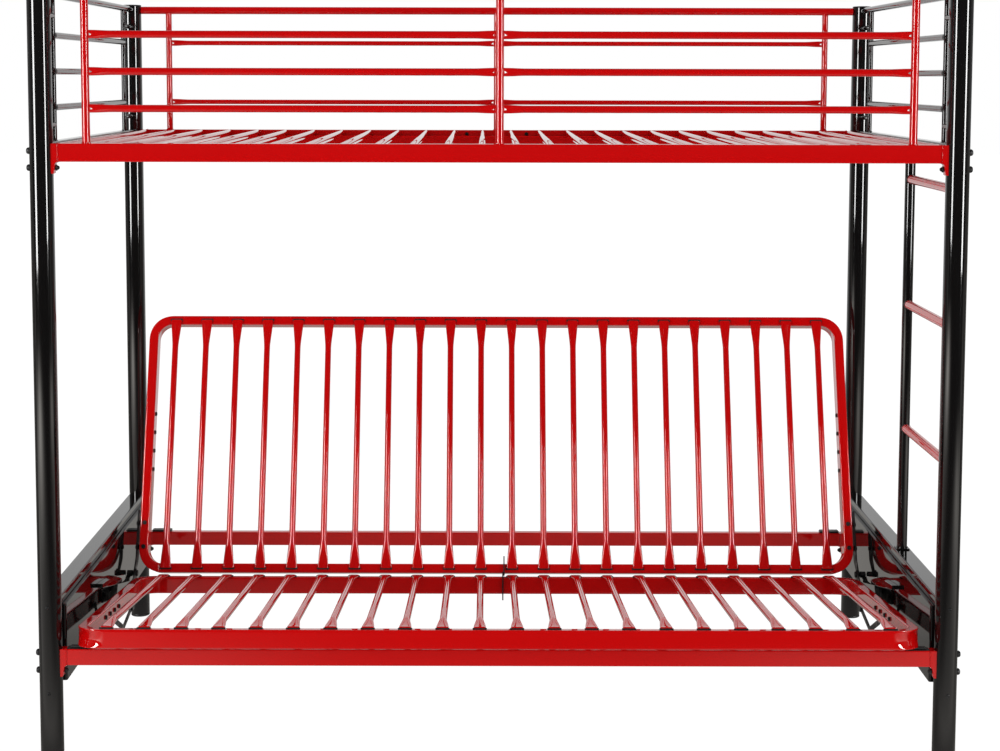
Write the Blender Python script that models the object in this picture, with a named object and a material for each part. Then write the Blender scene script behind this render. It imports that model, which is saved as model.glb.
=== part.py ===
# Futon bunk bed: a tube-framed upper bunk over a seat that folds down flat into a second bed.
# Metres, +Z up, +Y towards the back. The origin is on the floor, under the middle of the bounding box.
import math

import bmesh
import bpy
from mathutils import Matrix, Vector

# General fits
GAP = 0.0003
OVERRUN = 0.004
SMOOTH_ANGLE = math.radians(40)

# Posts
POST_SPACING_X = 1.981
POST_SPACING_Y = 1.020
POST_RADIUS = 0.0254
POST_WALL = 0.0015
POST_TOP = 1.686
POST_SIDES = 20
FOOT_THICKNESS = 0.006
FOOT_SPIGOT = 0.022
CAP_RISE = 0.004
CAP_SPIGOT = 0.014

# Rails of rectangular tube between the posts
RAIL_DEPTH = 0.022
UPPER_RAIL_DROP = 0.333
UPPER_RAIL_HEIGHT = 0.040
LOWER_RAIL_TOP = 0.237
LOWER_RAIL_HEIGHT = 0.037
SADDLE_LENGTH = 0.0105
SADDLE_DEPTH = 0.024
SADDLE_TAB_DROP = 0.026
LEDGE_WIDTH = 0.020
LEDGE_THICKNESS = 0.0025

# One through bolt with a dome nut in the tab under each rail end
BOLT_RADIUS = 0.003
BOLT_HOLE_RADIUS = 0.0036
BOLT_HEAD_RADIUS = 0.0075
BOLT_HEAD_HEIGHT = 0.005
BOLT_NUT_RADIUS = 0.0065
BOLT_NUT_HEIGHT = 0.009
BOLT_SIDES = 8
BOLT_DROP = 0.013

# Upper bunk slats, tubes across the bed on a flat strip at each end
UPPER_SLAT_COUNT = 26
UPPER_SLAT_PITCH = 0.0765
UPPER_SLAT_RADIUS = 0.008
SLAT_STRIP_WIDTH = 0.018
SLAT_STRIP_THICKNESS = 0.004
SLAT_STRIP_BITE = 0.001

# Front guard of the upper bunk
FRONT_GUARD_TOP_RADIUS = 0.0115
FRONT_GUARD_TOP_DROP = 0.019
FRONT_GUARD_POST_RADIUS = 0.00875
FRONT_GUARD_POST_INSET = 0.0975
FRONT_GUARD_BAR_RADIUS = 0.008
FRONT_GUARD_BAR_COUNT = 3
GUARD_LOWEST_BAR_RISE = 0.075
CRIMP_HALF_HEIGHT = 0.0105
CRIMP_HALF_DEPTH = 0.004
CRIMP_LENGTH = 0.018
CRIMP_TAPER = 0.032

# Back guard of the upper bunk
BACK_GUARD_TOP_RADIUS = 0.010
BACK_GUARD_TOP_DROP = 0.011
BACK_GUARD_POST_RADIUS = 0.008
BACK_GUARD_POST_INSET = 0.100
BACK_GUARD_BAR_RADIUS = 0.0063

# End panels of the upper bunk
PANEL_TOP_RADIUS = 0.008
PANEL_TOP_DROP = 0.009
PANEL_UPRIGHT_RADIUS = 0.00625
PANEL_UPRIGHT_INSET = 0.120
PANEL_BAR_RADIUS = 0.0075
PANEL_SPACER_RADIUS = 0.006
PANEL_SPACER_DROP = 0.047
PANEL_SPACER_RISE = 0.036
END_RAIL_STEP = 0.001
END_RAIL_HEIGHT = 0.040
END_RAIL_WIDTH = 0.025

# Ladder at the right end
LADDER_SETBACK = 0.430
LADDER_RAIL_RADIUS = 0.01225
RUNG_RADIUS = 0.011
RUNG_TOP_DROP = 0.059
RUNG_BOTTOM_RISE = 0.300
RUNG_NAMES = ("top", "middle", "bottom")
LADDER_PLATE_THICKNESS = 0.003
LADDER_PLATE_LENGTH = 0.034
LADDER_PLATE_INSET = 0.004

# Lower end beams and the pressed side plates under them
BEAM_TOP = 0.350
BEAM_HEIGHT = 0.022
BEAM_WIDTH = 0.040
PLATE_INSET = 0.0305
PLATE_THICKNESS = 0.002
PLATE_BOTTOM = 0.154
PLATE_LIP = 0.0375
PLATE_END_LIP = 0.045

# Both futon decks: a bent frame of rectangular tube with slats across it
DECK_SIDE_CLEARANCE = 0.027
DECK_TUBE_WIDTH = 0.024
DECK_TUBE_HEIGHT = 0.042
DECK_TUBE_CHAMFER = 0.004
DECK_CORNER_RADIUS = 0.063
DECK_CORNER_STEPS = 5
DECK_CORNER_DENT = 0.005
SEAT_LENGTH = 0.7305
BACK_LENGTH = 0.682
SEAT_TILT = math.radians(6.67)
BACK_LEAN = math.radians(19.5)
SLAT_COUNT = 22
SLAT_END_GAP = 0.072
SLAT_RADIUS = 0.008
SLAT_RISE = 0.0065
SLAT_SIDES = 6
SLAT_HEAD_HALF_WIDTH = 0.013
SLAT_HEAD_HALF_HEIGHT = 0.003
SLAT_HEAD_LIFT = 0.001
SLAT_HEAD_LENGTH = 0.016
SLAT_TAPER_LENGTH = 0.048
ADJUST_HOLE_RADIUS = 0.004
ADJUST_HOLE_DEPTH = 0.008
ADJUST_HOLE_DROP = 0.010
ADJUST_HOLE_PITCH = 0.043
ADJUST_HOLE_COUNT = 4
SEAT_HOLE_START = 0.375
BACK_HOLE_START = 0.2725

# Hinge line between the decks, above both top faces
HINGE_RISE = 0.006
HINGE_SETBACK = 0.002
HINGE_SIDES = 12
PIN_RADIUS = 0.0047
PIN_HEAD_RADIUS = 0.008
PIN_HEAD_THICKNESS = 0.004
PIN_HOLE_RADIUS = 0.0054
EYE_RADIUS = 0.012
BRACKET_THICKNESS = 0.003
BRACKET_STANDOFF = 0.002
BOSS_RADIUS = 0.007
BACK_BOSS_NEAR = 0.085
BACK_BOSS_PITCH = 0.063
ROLLER_RADIUS = 0.008
ROLLER_SIDES = 16
ROLLER_INSET = 0.0015
ROLLER_WIDTH = 0.014

# Guide track under each roller
SEAT_TRAVEL = 0.3395
TRACK_WIDTH = 0.016
TRACK_DEPTH = 0.010
TRACK_RUNOUT = 0.012
TRACK_STEPS = 8

# Centre hinge lugs
LUG_CENTRE = 0.0182
LUG_THICKNESS = 0.003
LUG_EYE_RADIUS = 0.0052
LUG_HOLE_RADIUS = 0.0034
LUG_STUD_RADIUS = 0.0026
LUG_ARM = 0.010
LUG_TAIL = 0.014
BACK_LUG_REACH = 0.045

# Seat glides: a rocking shoe on a ridged saddle at each end of the lower front rail
SADDLE_PAD_THICKNESS = 0.001
RIDGE_RADIUS = 0.003
SHOE_WALL = 0.0013
SHOE_LENGTH = 0.016
GLIDE_REACH_IN = 0.033
GLIDE_REACH_OUT = 0.012
PAD_END_GAP = 0.0015
REAR_GLIDE_CLEARANCE = 0.0004
SEAT_FRONT_OVERHANG = 0.045

# Outlines of the hinge hardware as shares (y, z) of the deck tube's height, from the fold line
SEAT_BRACKET_SHARES = (
    (-0.95, -0.24), (-4.52, -0.29), (-4.52, -1.05), (-1.33, -1.34), (-1.05, -2.12),
    (-0.48, -2.12), (0.14, -0.80),
)
BACK_BRACKET_SHARES = ((0.95, -0.24), (3.93, -0.30), (3.93, -1.00), (0.95, -1.05))
BRACE_PATH_SHARES = ((-0.70, -1.90), (-3.33, -2.74), (-5.86, -1.81), (-6.55, -0.81))
SEAT_BOSS_SHARES = (-4.05, -2.2)

# Worked out once from the sizes above
RIDGE_CENTRE = LOWER_RAIL_TOP + GAP + SADDLE_PAD_THICKNESS
SHOE_RISE = RIDGE_RADIUS + GAP + SHOE_WALL
SEAT_UNDERSIDE = SHOE_RISE + GAP
DECK_TOP = -HINGE_RISE
DECK_BOTTOM = -HINGE_RISE - DECK_TUBE_HEIGHT
HINGE_FROM_GLIDE = SEAT_LENGTH + HINGE_SETBACK - SEAT_FRONT_OVERHANG
HINGE_ABOVE_GLIDE = SEAT_UNDERSIDE + DECK_TUBE_HEIGHT + HINGE_RISE
POST_X = POST_SPACING_X / 2
PLATE_FACE = POST_X - PLATE_INSET
DECK_HALF_WIDTH = PLATE_FACE - DECK_SIDE_CLEARANCE
SLAT_PITCH = 2 * (DECK_HALF_WIDTH - SLAT_END_GAP) / (SLAT_COUNT - 1)
FRONT_CORNER_RISE = SEAT_UNDERSIDE + DECK_TUBE_CHAMFER
FRONT_REACH = SEAT_FRONT_OVERHANG * math.cos(SEAT_TILT) - FRONT_CORNER_RISE * math.sin(SEAT_TILT)
POST_FRONT_Y = (FRONT_REACH - POST_SPACING_Y - POST_RADIUS) / 2
POST_BACK_Y = POST_FRONT_Y + POST_SPACING_Y
UPPER_RAIL_TOP = POST_TOP - UPPER_RAIL_DROP
END_RAIL_TOP = UPPER_RAIL_TOP + END_RAIL_STEP
RAIL_END = POST_X - POST_RADIUS - GAP - SADDLE_LENGTH
FRONT_GUARD_TOP_HEIGHT = POST_TOP - FRONT_GUARD_TOP_DROP
GUARD_LOWEST_BAR = UPPER_RAIL_TOP + GUARD_LOWEST_BAR_RISE
GUARD_BAR_PITCH = (FRONT_GUARD_TOP_HEIGHT - GUARD_LOWEST_BAR) / FRONT_GUARD_BAR_COUNT
GUARD_BAR_HEIGHTS = [GUARD_LOWEST_BAR + i * GUARD_BAR_PITCH for i in range(FRONT_GUARD_BAR_COUNT)]
GLIDE_INNER = DECK_HALF_WIDTH - GLIDE_REACH_IN
GLIDE_OUTER = DECK_HALF_WIDTH + GLIDE_REACH_OUT
PAD_OUTER = RAIL_END - PAD_END_GAP
GLIDE_ORIGIN = Vector((0, POST_FRONT_Y, RIDGE_CENTRE))
SIDES = (("left", -1), ("right", 1))
ENDS = (("front", POST_FRONT_Y), ("back", POST_BACK_Y))


# Materials
def finish(name, colour, roughness, metallic):
    material = bpy.data.materials.new(name)
    material.use_nodes = True
    shader = material.node_tree.nodes["Principled BSDF"]
    shader.inputs["Base Color"].default_value = (*colour, 1)
    shader.inputs["Roughness"].default_value = roughness
    shader.inputs["Metallic"].default_value = metallic
    material.diffuse_color = (*colour, 1)
    return material


def red_powder_coat(name):
    return finish(name, (0.66, 0.012, 0.010), 0.22, 0.0)


def black_powder_coat(name):
    return finish(name, (0.020, 0.019, 0.018), 0.20, 0.0)


def black_plastic(name):
    return finish(name, (0.016, 0.016, 0.017), 0.45, 0.0)


def blackened_steel(name):
    return finish(name, (0.045, 0.045, 0.048), 0.35, 0.8)


# Mesh helpers
def keep(name, mesh_builder, coat=None, parent=None):
    """Puts a bmesh into the scene as an object. One without a coat only shapes others."""
    bmesh.ops.recalc_face_normals(mesh_builder, faces=mesh_builder.faces)
    mesh = bpy.data.meshes.new(name)
    mesh_builder.to_mesh(mesh)
    mesh_builder.free()
    mesh.shade_smooth()
    mesh.set_sharp_from_angle(angle=SMOOTH_ANGLE)
    item = bpy.data.objects.new(name, mesh)
    item.parent = parent
    bpy.context.scene.collection.objects.link(item)
    if coat:
        mesh.materials.append(coat(name + "_coat"))
    else:
        item.hide_render = True
        item.display_type = "WIRE"
    return item


def apply_shapes(target, helpers, operation):
    group = bpy.data.collections.new(target.name + "_" + operation.lower())
    bpy.context.scene.collection.children.link(group)
    for helper in helpers:
        group.objects.link(helper)
    modifier = target.modifiers.new(operation.title(), "BOOLEAN")
    modifier.operation = operation
    modifier.solver = "EXACT"
    modifier.operand_type = "COLLECTION"
    modifier.collection = group


def weld(target, helpers):
    apply_shapes(target, helpers, "UNION")


def cut(target, helpers):
    apply_shapes(target, helpers, "DIFFERENCE")


def loft(name, rings, coat=None, parent=None, closed=False):
    """Joins rings of points into one skin, closed round or capped at both ends."""
    builder = bmesh.new()
    rows = [[builder.verts.new(point) for point in ring] for ring in rings]
    pairs = list(zip(rows, rows[1:]))
    if closed:
        pairs.append((rows[-1], rows[0]))
    for near, far in pairs:
        for i in range(len(near)):
            j = (i + 1) % len(near)
            builder.faces.new((near[i], near[j], far[j], far[i]))
    if not closed:
        builder.faces.new(rows[0])
        builder.faces.new(rows[-1])
    return keep(name, builder, coat, parent)


def oval(centre, along, across, half_across, half_up, sides):
    """A ring of points round a centre, square to a direction. Its first axis is across."""
    across = Vector(across).normalized()
    up = Vector(along).normalized().cross(across)
    points = []
    for i in range(sides):
        turn = 2 * math.pi * i / sides
        points.append(centre + across * half_across * math.cos(turn) + up * half_up * math.sin(turn))
    return points


def bar(name, start, end, radius, sides, coat=None, parent=None, across=(1, 0, 0)):
    """A plain round bar or closed tube between two points."""
    start, end = Vector(start), Vector(end)
    along = end - start
    rings = [oval(point, along, across, radius, radius, sides) for point in (start, end)]
    return loft(name, rings, coat, parent)


def pressed_bar(name, start, end, across, stations, sides, parent=None):
    """A tube with shaped ends. Each station is (distance from an end, half across, half up, lift)."""
    start, end = Vector(start), Vector(end)
    along = (end - start).normalized()
    up = along.cross(Vector(across).normalized())
    rings = []
    for distance, half_across, half_up, lift in stations:
        centre = start + along * distance + up * lift
        rings.append(oval(centre, along, across, half_across, half_up, sides))
    for distance, half_across, half_up, lift in reversed(stations):
        centre = end - along * distance + up * lift
        rings.append(oval(centre, along, across, half_across, half_up, sides))
    return loft(name, rings, parent=parent)


def block(name, low, high, coat=None, parent=None):
    builder = bmesh.new()
    bmesh.ops.create_cube(builder, size=1)
    middle = [(a + b) / 2 for a, b in zip(low, high)]
    size = [b - a for a, b in zip(low, high)]
    place = Matrix.Translation(middle) @ Matrix.Diagonal((*size, 1))
    bmesh.ops.transform(builder, matrix=place, verts=builder.verts)
    return keep(name, builder, coat, parent)


def sheet(name, outline, x_low, x_high, coat=None, parent=None):
    """An outline of (y, z) points pulled through a thickness along X."""
    builder = bmesh.new()
    corners = [builder.verts.new((x_low, y, z)) for y, z in outline]
    face = builder.faces.new(corners)
    grown = bmesh.ops.extrude_face_region(builder, geom=[face])
    moved = [item for item in grown["geom"] if isinstance(item, bmesh.types.BMVert)]
    bmesh.ops.translate(builder, vec=(x_high - x_low, 0, 0), verts=moved)
    return keep(name, builder, coat, parent)


def turned(name, profile, sides, coat=None, parent=None, base=(0, 0, 0), axis="Z", closed=False):
    """A profile of (radius, height) points spun about an axis through the base."""
    builder = bmesh.new()
    points = [builder.verts.new((radius, 0, height)) for radius, height in profile]
    pairs = list(zip(points, points[1:]))
    if closed:
        pairs.append((points[-1], points[0]))
    edges = [builder.edges.new(pair) for pair in pairs]
    bmesh.ops.spin(
        builder, geom=points + edges, cent=(0, 0, 0), axis=(0, 0, 1),
        angle=2 * math.pi, steps=sides, use_merge=True,
    )
    bmesh.ops.remove_doubles(builder, verts=builder.verts, dist=GAP / 10)
    if axis == "X":
        upright = Matrix.Rotation(math.pi / 2, 3, "Y")
        bmesh.ops.rotate(builder, verts=builder.verts, cent=(0, 0, 0), matrix=upright)
    bmesh.ops.translate(builder, verts=builder.verts, vec=base)
    return keep(name, builder, coat, parent)


def cross_hole(y, z, radius, x_low, x_high, sides, parent=None):
    """A cutter along X."""
    ends = ((x_low, y, z), (x_high, y, z))
    return bar("hole_guide", *ends, radius, sides, parent=parent, across=(0, 1, 0))


def empty(name, location, tilt):
    holder = bpy.data.objects.new(name, None)
    holder.location = location
    holder.rotation_euler = (tilt, 0, 0)
    bpy.context.scene.collection.objects.link(holder)
    return holder


# Posts with their caps and feet
def bolt_heights():
    return [
        UPPER_RAIL_TOP - UPPER_RAIL_HEIGHT - BOLT_DROP,
        LOWER_RAIL_TOP - LOWER_RAIL_HEIGHT - BOLT_DROP,
    ]


def make_post(name, x, y):
    base = FOOT_THICKNESS + GAP
    inner = POST_RADIUS - POST_WALL
    profile = [(POST_RADIUS, base), (POST_RADIUS, POST_TOP), (inner, POST_TOP), (inner, base)]
    post = turned("post_" + name, profile, POST_SIDES, black_powder_coat, base=(x, y, 0), closed=True)
    reach = POST_RADIUS + OVERRUN
    span = (x - reach, x + reach)
    holes = [cross_hole(y, z, BOLT_HOLE_RADIUS, *span, BOLT_SIDES) for z in bolt_heights()]
    cut(post, holes)


def make_foot(name, x, y):
    spigot = POST_RADIUS - POST_WALL - GAP
    top = FOOT_THICKNESS + FOOT_SPIGOT
    profile = [
        (0, 0), (POST_RADIUS, 0), (POST_RADIUS, FOOT_THICKNESS),
        (spigot, FOOT_THICKNESS), (spigot, top), (0, top),
    ]
    turned("post_foot_" + name, profile, POST_SIDES, black_plastic, base=(x, y, 0))


def make_post_cap(name, x, y):
    spigot = POST_RADIUS - POST_WALL - GAP
    rim = POST_TOP + GAP
    crown = POST_TOP + CAP_RISE
    profile = [
        (0, POST_TOP - CAP_SPIGOT), (spigot, POST_TOP - CAP_SPIGOT), (spigot, rim), (POST_RADIUS, rim),
        (POST_RADIUS, rim + (crown - rim) / 3), (POST_RADIUS * 3 / 4, crown - (crown - rim) / 6),
        (0, crown),
    ]
    turned("post_top_cap_" + name, profile, POST_SIDES, black_plastic, base=(x, y, 0))


def make_posts():
    for end, y in ENDS:
        for side, sign in SIDES:
            name = end + "_" + side
            make_post(name, sign * POST_X, y)
            make_foot(name, sign * POST_X, y)
            make_post_cap(name, sign * POST_X, y)


# Long rails with their welded end saddles, and the bolts that hold them
def make_long_rail(name, y, top, height, inward=0):
    low, half = top - height, RAIL_DEPTH / 2
    rail = block(name, (-RAIL_END, y - half, low), (RAIL_END, y + half, top), red_powder_coat)
    welded, cuts = [], []
    for sign in (-1, 1):
        near = sign * (RAIL_END - OVERRUN)
        far = sign * (POST_X - POST_RADIUS / 2)
        tab_low = low - SADDLE_TAB_DROP
        span = sorted((near, far))
        welded.append(block(
            "saddle_guide", (span[0], y - SADDLE_DEPTH / 2, tab_low),
            (span[1], y + SADDLE_DEPTH / 2, top - GAP),
        ))
        post_x = sign * POST_X
        cuts.append(bar(
            "post_guide", (post_x, y, tab_low - OVERRUN), (post_x, y, top + OVERRUN),
            (POST_RADIUS + GAP) / math.cos(math.pi / POST_SIDES), POST_SIDES,
        ))
        inner = sign * (RAIL_END - 2 * OVERRUN)
        hole_span = sorted((inner, post_x))
        cuts.append(cross_hole(y, low - BOLT_DROP, BOLT_HOLE_RADIUS, *hole_span, BOLT_SIDES))
    if inward:
        ledge_top = top - 2 * UPPER_SLAT_RADIUS + SLAT_STRIP_BITE - SLAT_STRIP_THICKNESS - GAP
        edge = sorted((y + inward * (half - RAIL_DEPTH / 4), y + inward * (half + LEDGE_WIDTH)))
        reach = RAIL_END - OVERRUN
        welded.append(block(
            "ledge_guide", (-reach, edge[0], ledge_top - LEDGE_THICKNESS), (reach, edge[1], ledge_top),
        ))
    weld(rail, welded)
    cut(rail, cuts)


def make_rail_bolt(name, sign, y, z):
    seat = POST_X + POST_RADIUS + GAP
    tab = RAIL_END - OVERRUN - GAP
    head = BOLT_HEAD_HEIGHT
    nut = BOLT_NUT_HEIGHT
    profile = [
        (0, seat + head), (BOLT_HEAD_RADIUS * 2 / 3, seat + head * 3 / 4), (BOLT_HEAD_RADIUS, seat),
        (BOLT_RADIUS, seat), (BOLT_RADIUS, tab),
        (BOLT_NUT_RADIUS, tab), (BOLT_NUT_RADIUS, tab - nut / 2),
        (0, tab - nut),
    ]
    flipped = [(radius, sign * along) for radius, along in profile]
    turned("rail_bolt_" + name, flipped, BOLT_SIDES, blackened_steel, base=(0, y, z), axis="X")


def make_rails():
    make_long_rail("upper_front_rail", POST_FRONT_Y, UPPER_RAIL_TOP, UPPER_RAIL_HEIGHT, inward=1)
    make_long_rail("upper_back_rail", POST_BACK_Y, UPPER_RAIL_TOP, UPPER_RAIL_HEIGHT, inward=-1)
    make_long_rail("lower_front_rail", POST_FRONT_Y, LOWER_RAIL_TOP, LOWER_RAIL_HEIGHT)
    make_long_rail("lower_back_rail", POST_BACK_Y, LOWER_RAIL_TOP, LOWER_RAIL_HEIGHT)
    for level, z in zip(("upper", "lower"), bolt_heights()):
        for end, y in ENDS:
            for side, sign in SIDES:
                make_rail_bolt("_".join((level, end, side)), sign, y, z)


# Upper bunk: slats, guards and end panels
def make_upper_slats():
    axis_z = UPPER_RAIL_TOP - UPPER_SLAT_RADIUS
    strip_top = UPPER_RAIL_TOP - 2 * UPPER_SLAT_RADIUS + SLAT_STRIP_BITE
    start = POST_FRONT_Y + SADDLE_DEPTH / 2 + GAP
    stop = POST_BACK_Y - SADDLE_DEPTH / 2 - GAP
    reach = (UPPER_SLAT_COUNT - 1) / 2 * UPPER_SLAT_PITCH + UPPER_SLAT_RADIUS
    strip_low = strip_top - SLAT_STRIP_THICKNESS
    deck = block(
        "upper_slat_deck", (-reach, start, strip_low),
        (reach, start + SLAT_STRIP_WIDTH, strip_top), red_powder_coat,
    )
    back_strip = (-reach, stop - SLAT_STRIP_WIDTH, strip_low)
    pieces = [block("strip_guide", back_strip, (reach, stop, strip_top))]
    for i in range(UPPER_SLAT_COUNT):
        x = (i - (UPPER_SLAT_COUNT - 1) / 2) * UPPER_SLAT_PITCH
        flat_radius = UPPER_SLAT_RADIUS / math.cos(math.pi / SLAT_SIDES)
        pieces.append(bar(
            "slat_guide", (x, start + GAP, axis_z), (x, stop - GAP, axis_z), flat_radius, SLAT_SIDES,
        ))
    weld(deck, pieces)


def crimped_bar(start, end, radius):
    """A guard bar whose two ends are pressed flat against the uprights."""
    stations = [
        (0, CRIMP_HALF_DEPTH, CRIMP_HALF_HEIGHT, 0),
        (CRIMP_LENGTH, CRIMP_HALF_DEPTH, CRIMP_HALF_HEIGHT, 0),
        (CRIMP_LENGTH + CRIMP_TAPER, radius, radius, 0),
    ]
    return pressed_bar("guard_bar_guide", start, end, (0, 1, 0), stations, SLAT_SIDES + 2)


def make_guard(name, y, top_z, top_radius, offset, upright_radius, bar_radius, bar_heights):
    reach = POST_X - POST_RADIUS - GAP
    sides = SLAT_SIDES + 2
    ends = ((-reach, y, top_z), (reach, y, top_z))
    guard = bar(name, *ends, top_radius, sides, red_powder_coat, across=(0, 1, 0))
    pieces = []
    for x in (-offset, 0, offset):
        foot = (x, y, UPPER_RAIL_TOP + GAP)
        pieces.append(bar("upright_guide", foot, (x, y, top_z), upright_radius, sides))
    for z in bar_heights:
        pieces.append(crimped_bar((-offset, y, z), (0, y, z), bar_radius))
        pieces.append(crimped_bar((0, y, z), (offset, y, z), bar_radius))
    weld(guard, pieces)


def make_guards():
    make_guard(
        "front_guard", POST_FRONT_Y, FRONT_GUARD_TOP_HEIGHT, FRONT_GUARD_TOP_RADIUS,
        POST_X - FRONT_GUARD_POST_INSET,
        FRONT_GUARD_POST_RADIUS, FRONT_GUARD_BAR_RADIUS, GUARD_BAR_HEIGHTS,
    )
    make_guard(
        "back_guard", POST_BACK_Y, POST_TOP - BACK_GUARD_TOP_DROP, BACK_GUARD_TOP_RADIUS,
        POST_X - BACK_GUARD_POST_INSET, BACK_GUARD_POST_RADIUS, BACK_GUARD_BAR_RADIUS,
        GUARD_BAR_HEIGHTS[::2],
    )


def make_end_panel(side, sign):
    x = sign * POST_X
    start = POST_FRONT_Y + POST_RADIUS + GAP
    stop = POST_BACK_Y - POST_RADIUS - GAP
    half = END_RAIL_WIDTH / 2
    panel = block(
        "upper_end_panel_" + side, (x - half, start, END_RAIL_TOP - END_RAIL_HEIGHT),
        (x + half, stop, END_RAIL_TOP),
        black_powder_coat,
    )
    sides = SLAT_SIDES + 2
    top = POST_TOP - PANEL_TOP_DROP
    pieces = [bar("top_guide", (x, start, top), (x, stop, top), PANEL_TOP_RADIUS, sides)]
    uprights = (POST_FRONT_Y + PANEL_UPRIGHT_INSET, POST_BACK_Y - PANEL_UPRIGHT_INSET)
    foot = END_RAIL_TOP - END_RAIL_HEIGHT / 4
    for y in uprights:
        pieces.append(bar("upright_guide", (x, y, foot), (x, y, top), PANEL_UPRIGHT_RADIUS, sides))
    for z in GUARD_BAR_HEIGHTS:
        near, far = (x, uprights[0], z), (x, uprights[1], z)
        pieces.append(bar("bar_guide", near, far, PANEL_BAR_RADIUS, sides))
    for z in (END_RAIL_TOP + PANEL_SPACER_RISE, top - PANEL_SPACER_DROP):
        for near, far in ((start, uprights[0]), (uprights[1], stop)):
            ends = ((x, near, z), (x, far, z))
            pieces.append(bar("spacer_guide", *ends, PANEL_SPACER_RADIUS, SLAT_SIDES))
    weld(panel, pieces)


# Ladder between the right end's front post and its own rail
def make_ladder():
    y = POST_FRONT_Y + LADDER_SETBACK
    plate_top = BEAM_TOP + GAP + LADDER_PLATE_THICKNESS
    low = plate_top + GAP
    high = END_RAIL_TOP - END_RAIL_HEIGHT - GAP
    sides = 2 * SLAT_SIDES
    top_rung = END_RAIL_TOP - END_RAIL_HEIGHT - RUNG_TOP_DROP
    pitch = (top_rung - BEAM_TOP - RUNG_BOTTOM_RISE) / (len(RUNG_NAMES) - 1)
    bar("ladder_rail", (POST_X, y, low), (POST_X, y, high), LADDER_RAIL_RADIUS, sides, black_powder_coat)
    for i, name in enumerate(RUNG_NAMES):
        z = top_rung - i * pitch
        start = POST_FRONT_Y + POST_RADIUS + GAP
        stop = y - LADDER_RAIL_RADIUS - GAP
        ends = ((POST_X, start, z), (POST_X, stop, z))
        bar("ladder_rung_" + name, *ends, RUNG_RADIUS, sides, red_powder_coat)
    half_length = LADDER_PLATE_LENGTH / 2
    half_width = BEAM_WIDTH / 2 - LADDER_PLATE_INSET
    block(
        "ladder_foot_plate", (POST_X - half_width, y - half_length, BEAM_TOP + GAP),
        (POST_X + half_width, y + half_length, plate_top), black_powder_coat,
    )


# Lower ends: a beam between the posts, with a pressed plate and a roller track below
def make_lower_end(side, sign):
    start = POST_FRONT_Y + POST_RADIUS + GAP
    stop = POST_BACK_Y - POST_RADIUS - GAP
    x = sign * POST_X
    half = BEAM_WIDTH / 2
    beam_low = BEAM_TOP - BEAM_HEIGHT
    block(
        "lower_end_beam_" + side, (x - half, start, beam_low), (x + half, stop, BEAM_TOP),
        black_powder_coat,
    )

    def span(near, far, y_low, y_high, z_low, z_high, name="lip_guide", coat=None):
        edges = sorted((sign * near, sign * far))
        return block(name, (edges[0], y_low, z_low), (edges[1], y_high, z_high), coat)

    skin = PLATE_THICKNESS
    top = beam_low - GAP
    inner = PLATE_FACE + skin / 2
    plate = span(
        PLATE_FACE, PLATE_FACE + skin, start, stop, PLATE_BOTTOM, top,
        "side_plate_" + side, black_powder_coat,
    )
    lip = PLATE_FACE + PLATE_LIP
    end_lip = PLATE_FACE + PLATE_END_LIP
    low = PLATE_BOTTOM + skin / 2
    weld(plate, [
        span(inner, lip, start + skin / 2, stop - skin / 2, top - skin, top),
        span(inner, end_lip, start, start + skin, low, top - skin / 2),
        span(inner, end_lip, stop - skin, stop, low, top - skin / 2),
    ])
    make_track(side, sign)


def hinge_place(part_share):
    """Where the fold line is, as (y, z), when this share of the fold has been made."""
    tilt = -SEAT_TILT * (1 - part_share)
    along = HINGE_FROM_GLIDE - SEAT_TRAVEL * part_share
    y = along * math.cos(tilt) - HINGE_ABOVE_GLIDE * math.sin(tilt)
    z = along * math.sin(tilt) + HINGE_ABOVE_GLIDE * math.cos(tilt)
    return Vector((GLIDE_ORIGIN.y + y, GLIDE_ORIGIN.z + z))


def make_track(side, sign):
    """The top of the track follows the roller's lowest point. Its underside is straight."""
    places = [hinge_place(i / TRACK_STEPS) for i in range(TRACK_STEPS + 1)]
    crest = []
    for i, place in enumerate(places):
        uphill = (places[min(i + 1, TRACK_STEPS)] - places[max(i - 1, 0)]).normalized()
        crest.append(place + Vector((uphill.y, -uphill.x)) * -(ROLLER_RADIUS + GAP))
    rear = (places[0] - places[1]).normalized() * TRACK_RUNOUT
    front = (places[-1] - places[-2]).normalized() * TRACK_RUNOUT
    crest = [crest[0] + rear, *crest, crest[-1] + front]
    under = [crest[-1] - Vector((0, TRACK_DEPTH)), crest[0] - Vector((0, TRACK_DEPTH))]
    edges = sorted((sign * (PLATE_FACE - GAP), sign * (PLATE_FACE - GAP - TRACK_WIDTH)))
    sheet("roller_track_" + side, [tuple(point) for point in crest + under], *edges, black_powder_coat)


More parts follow.
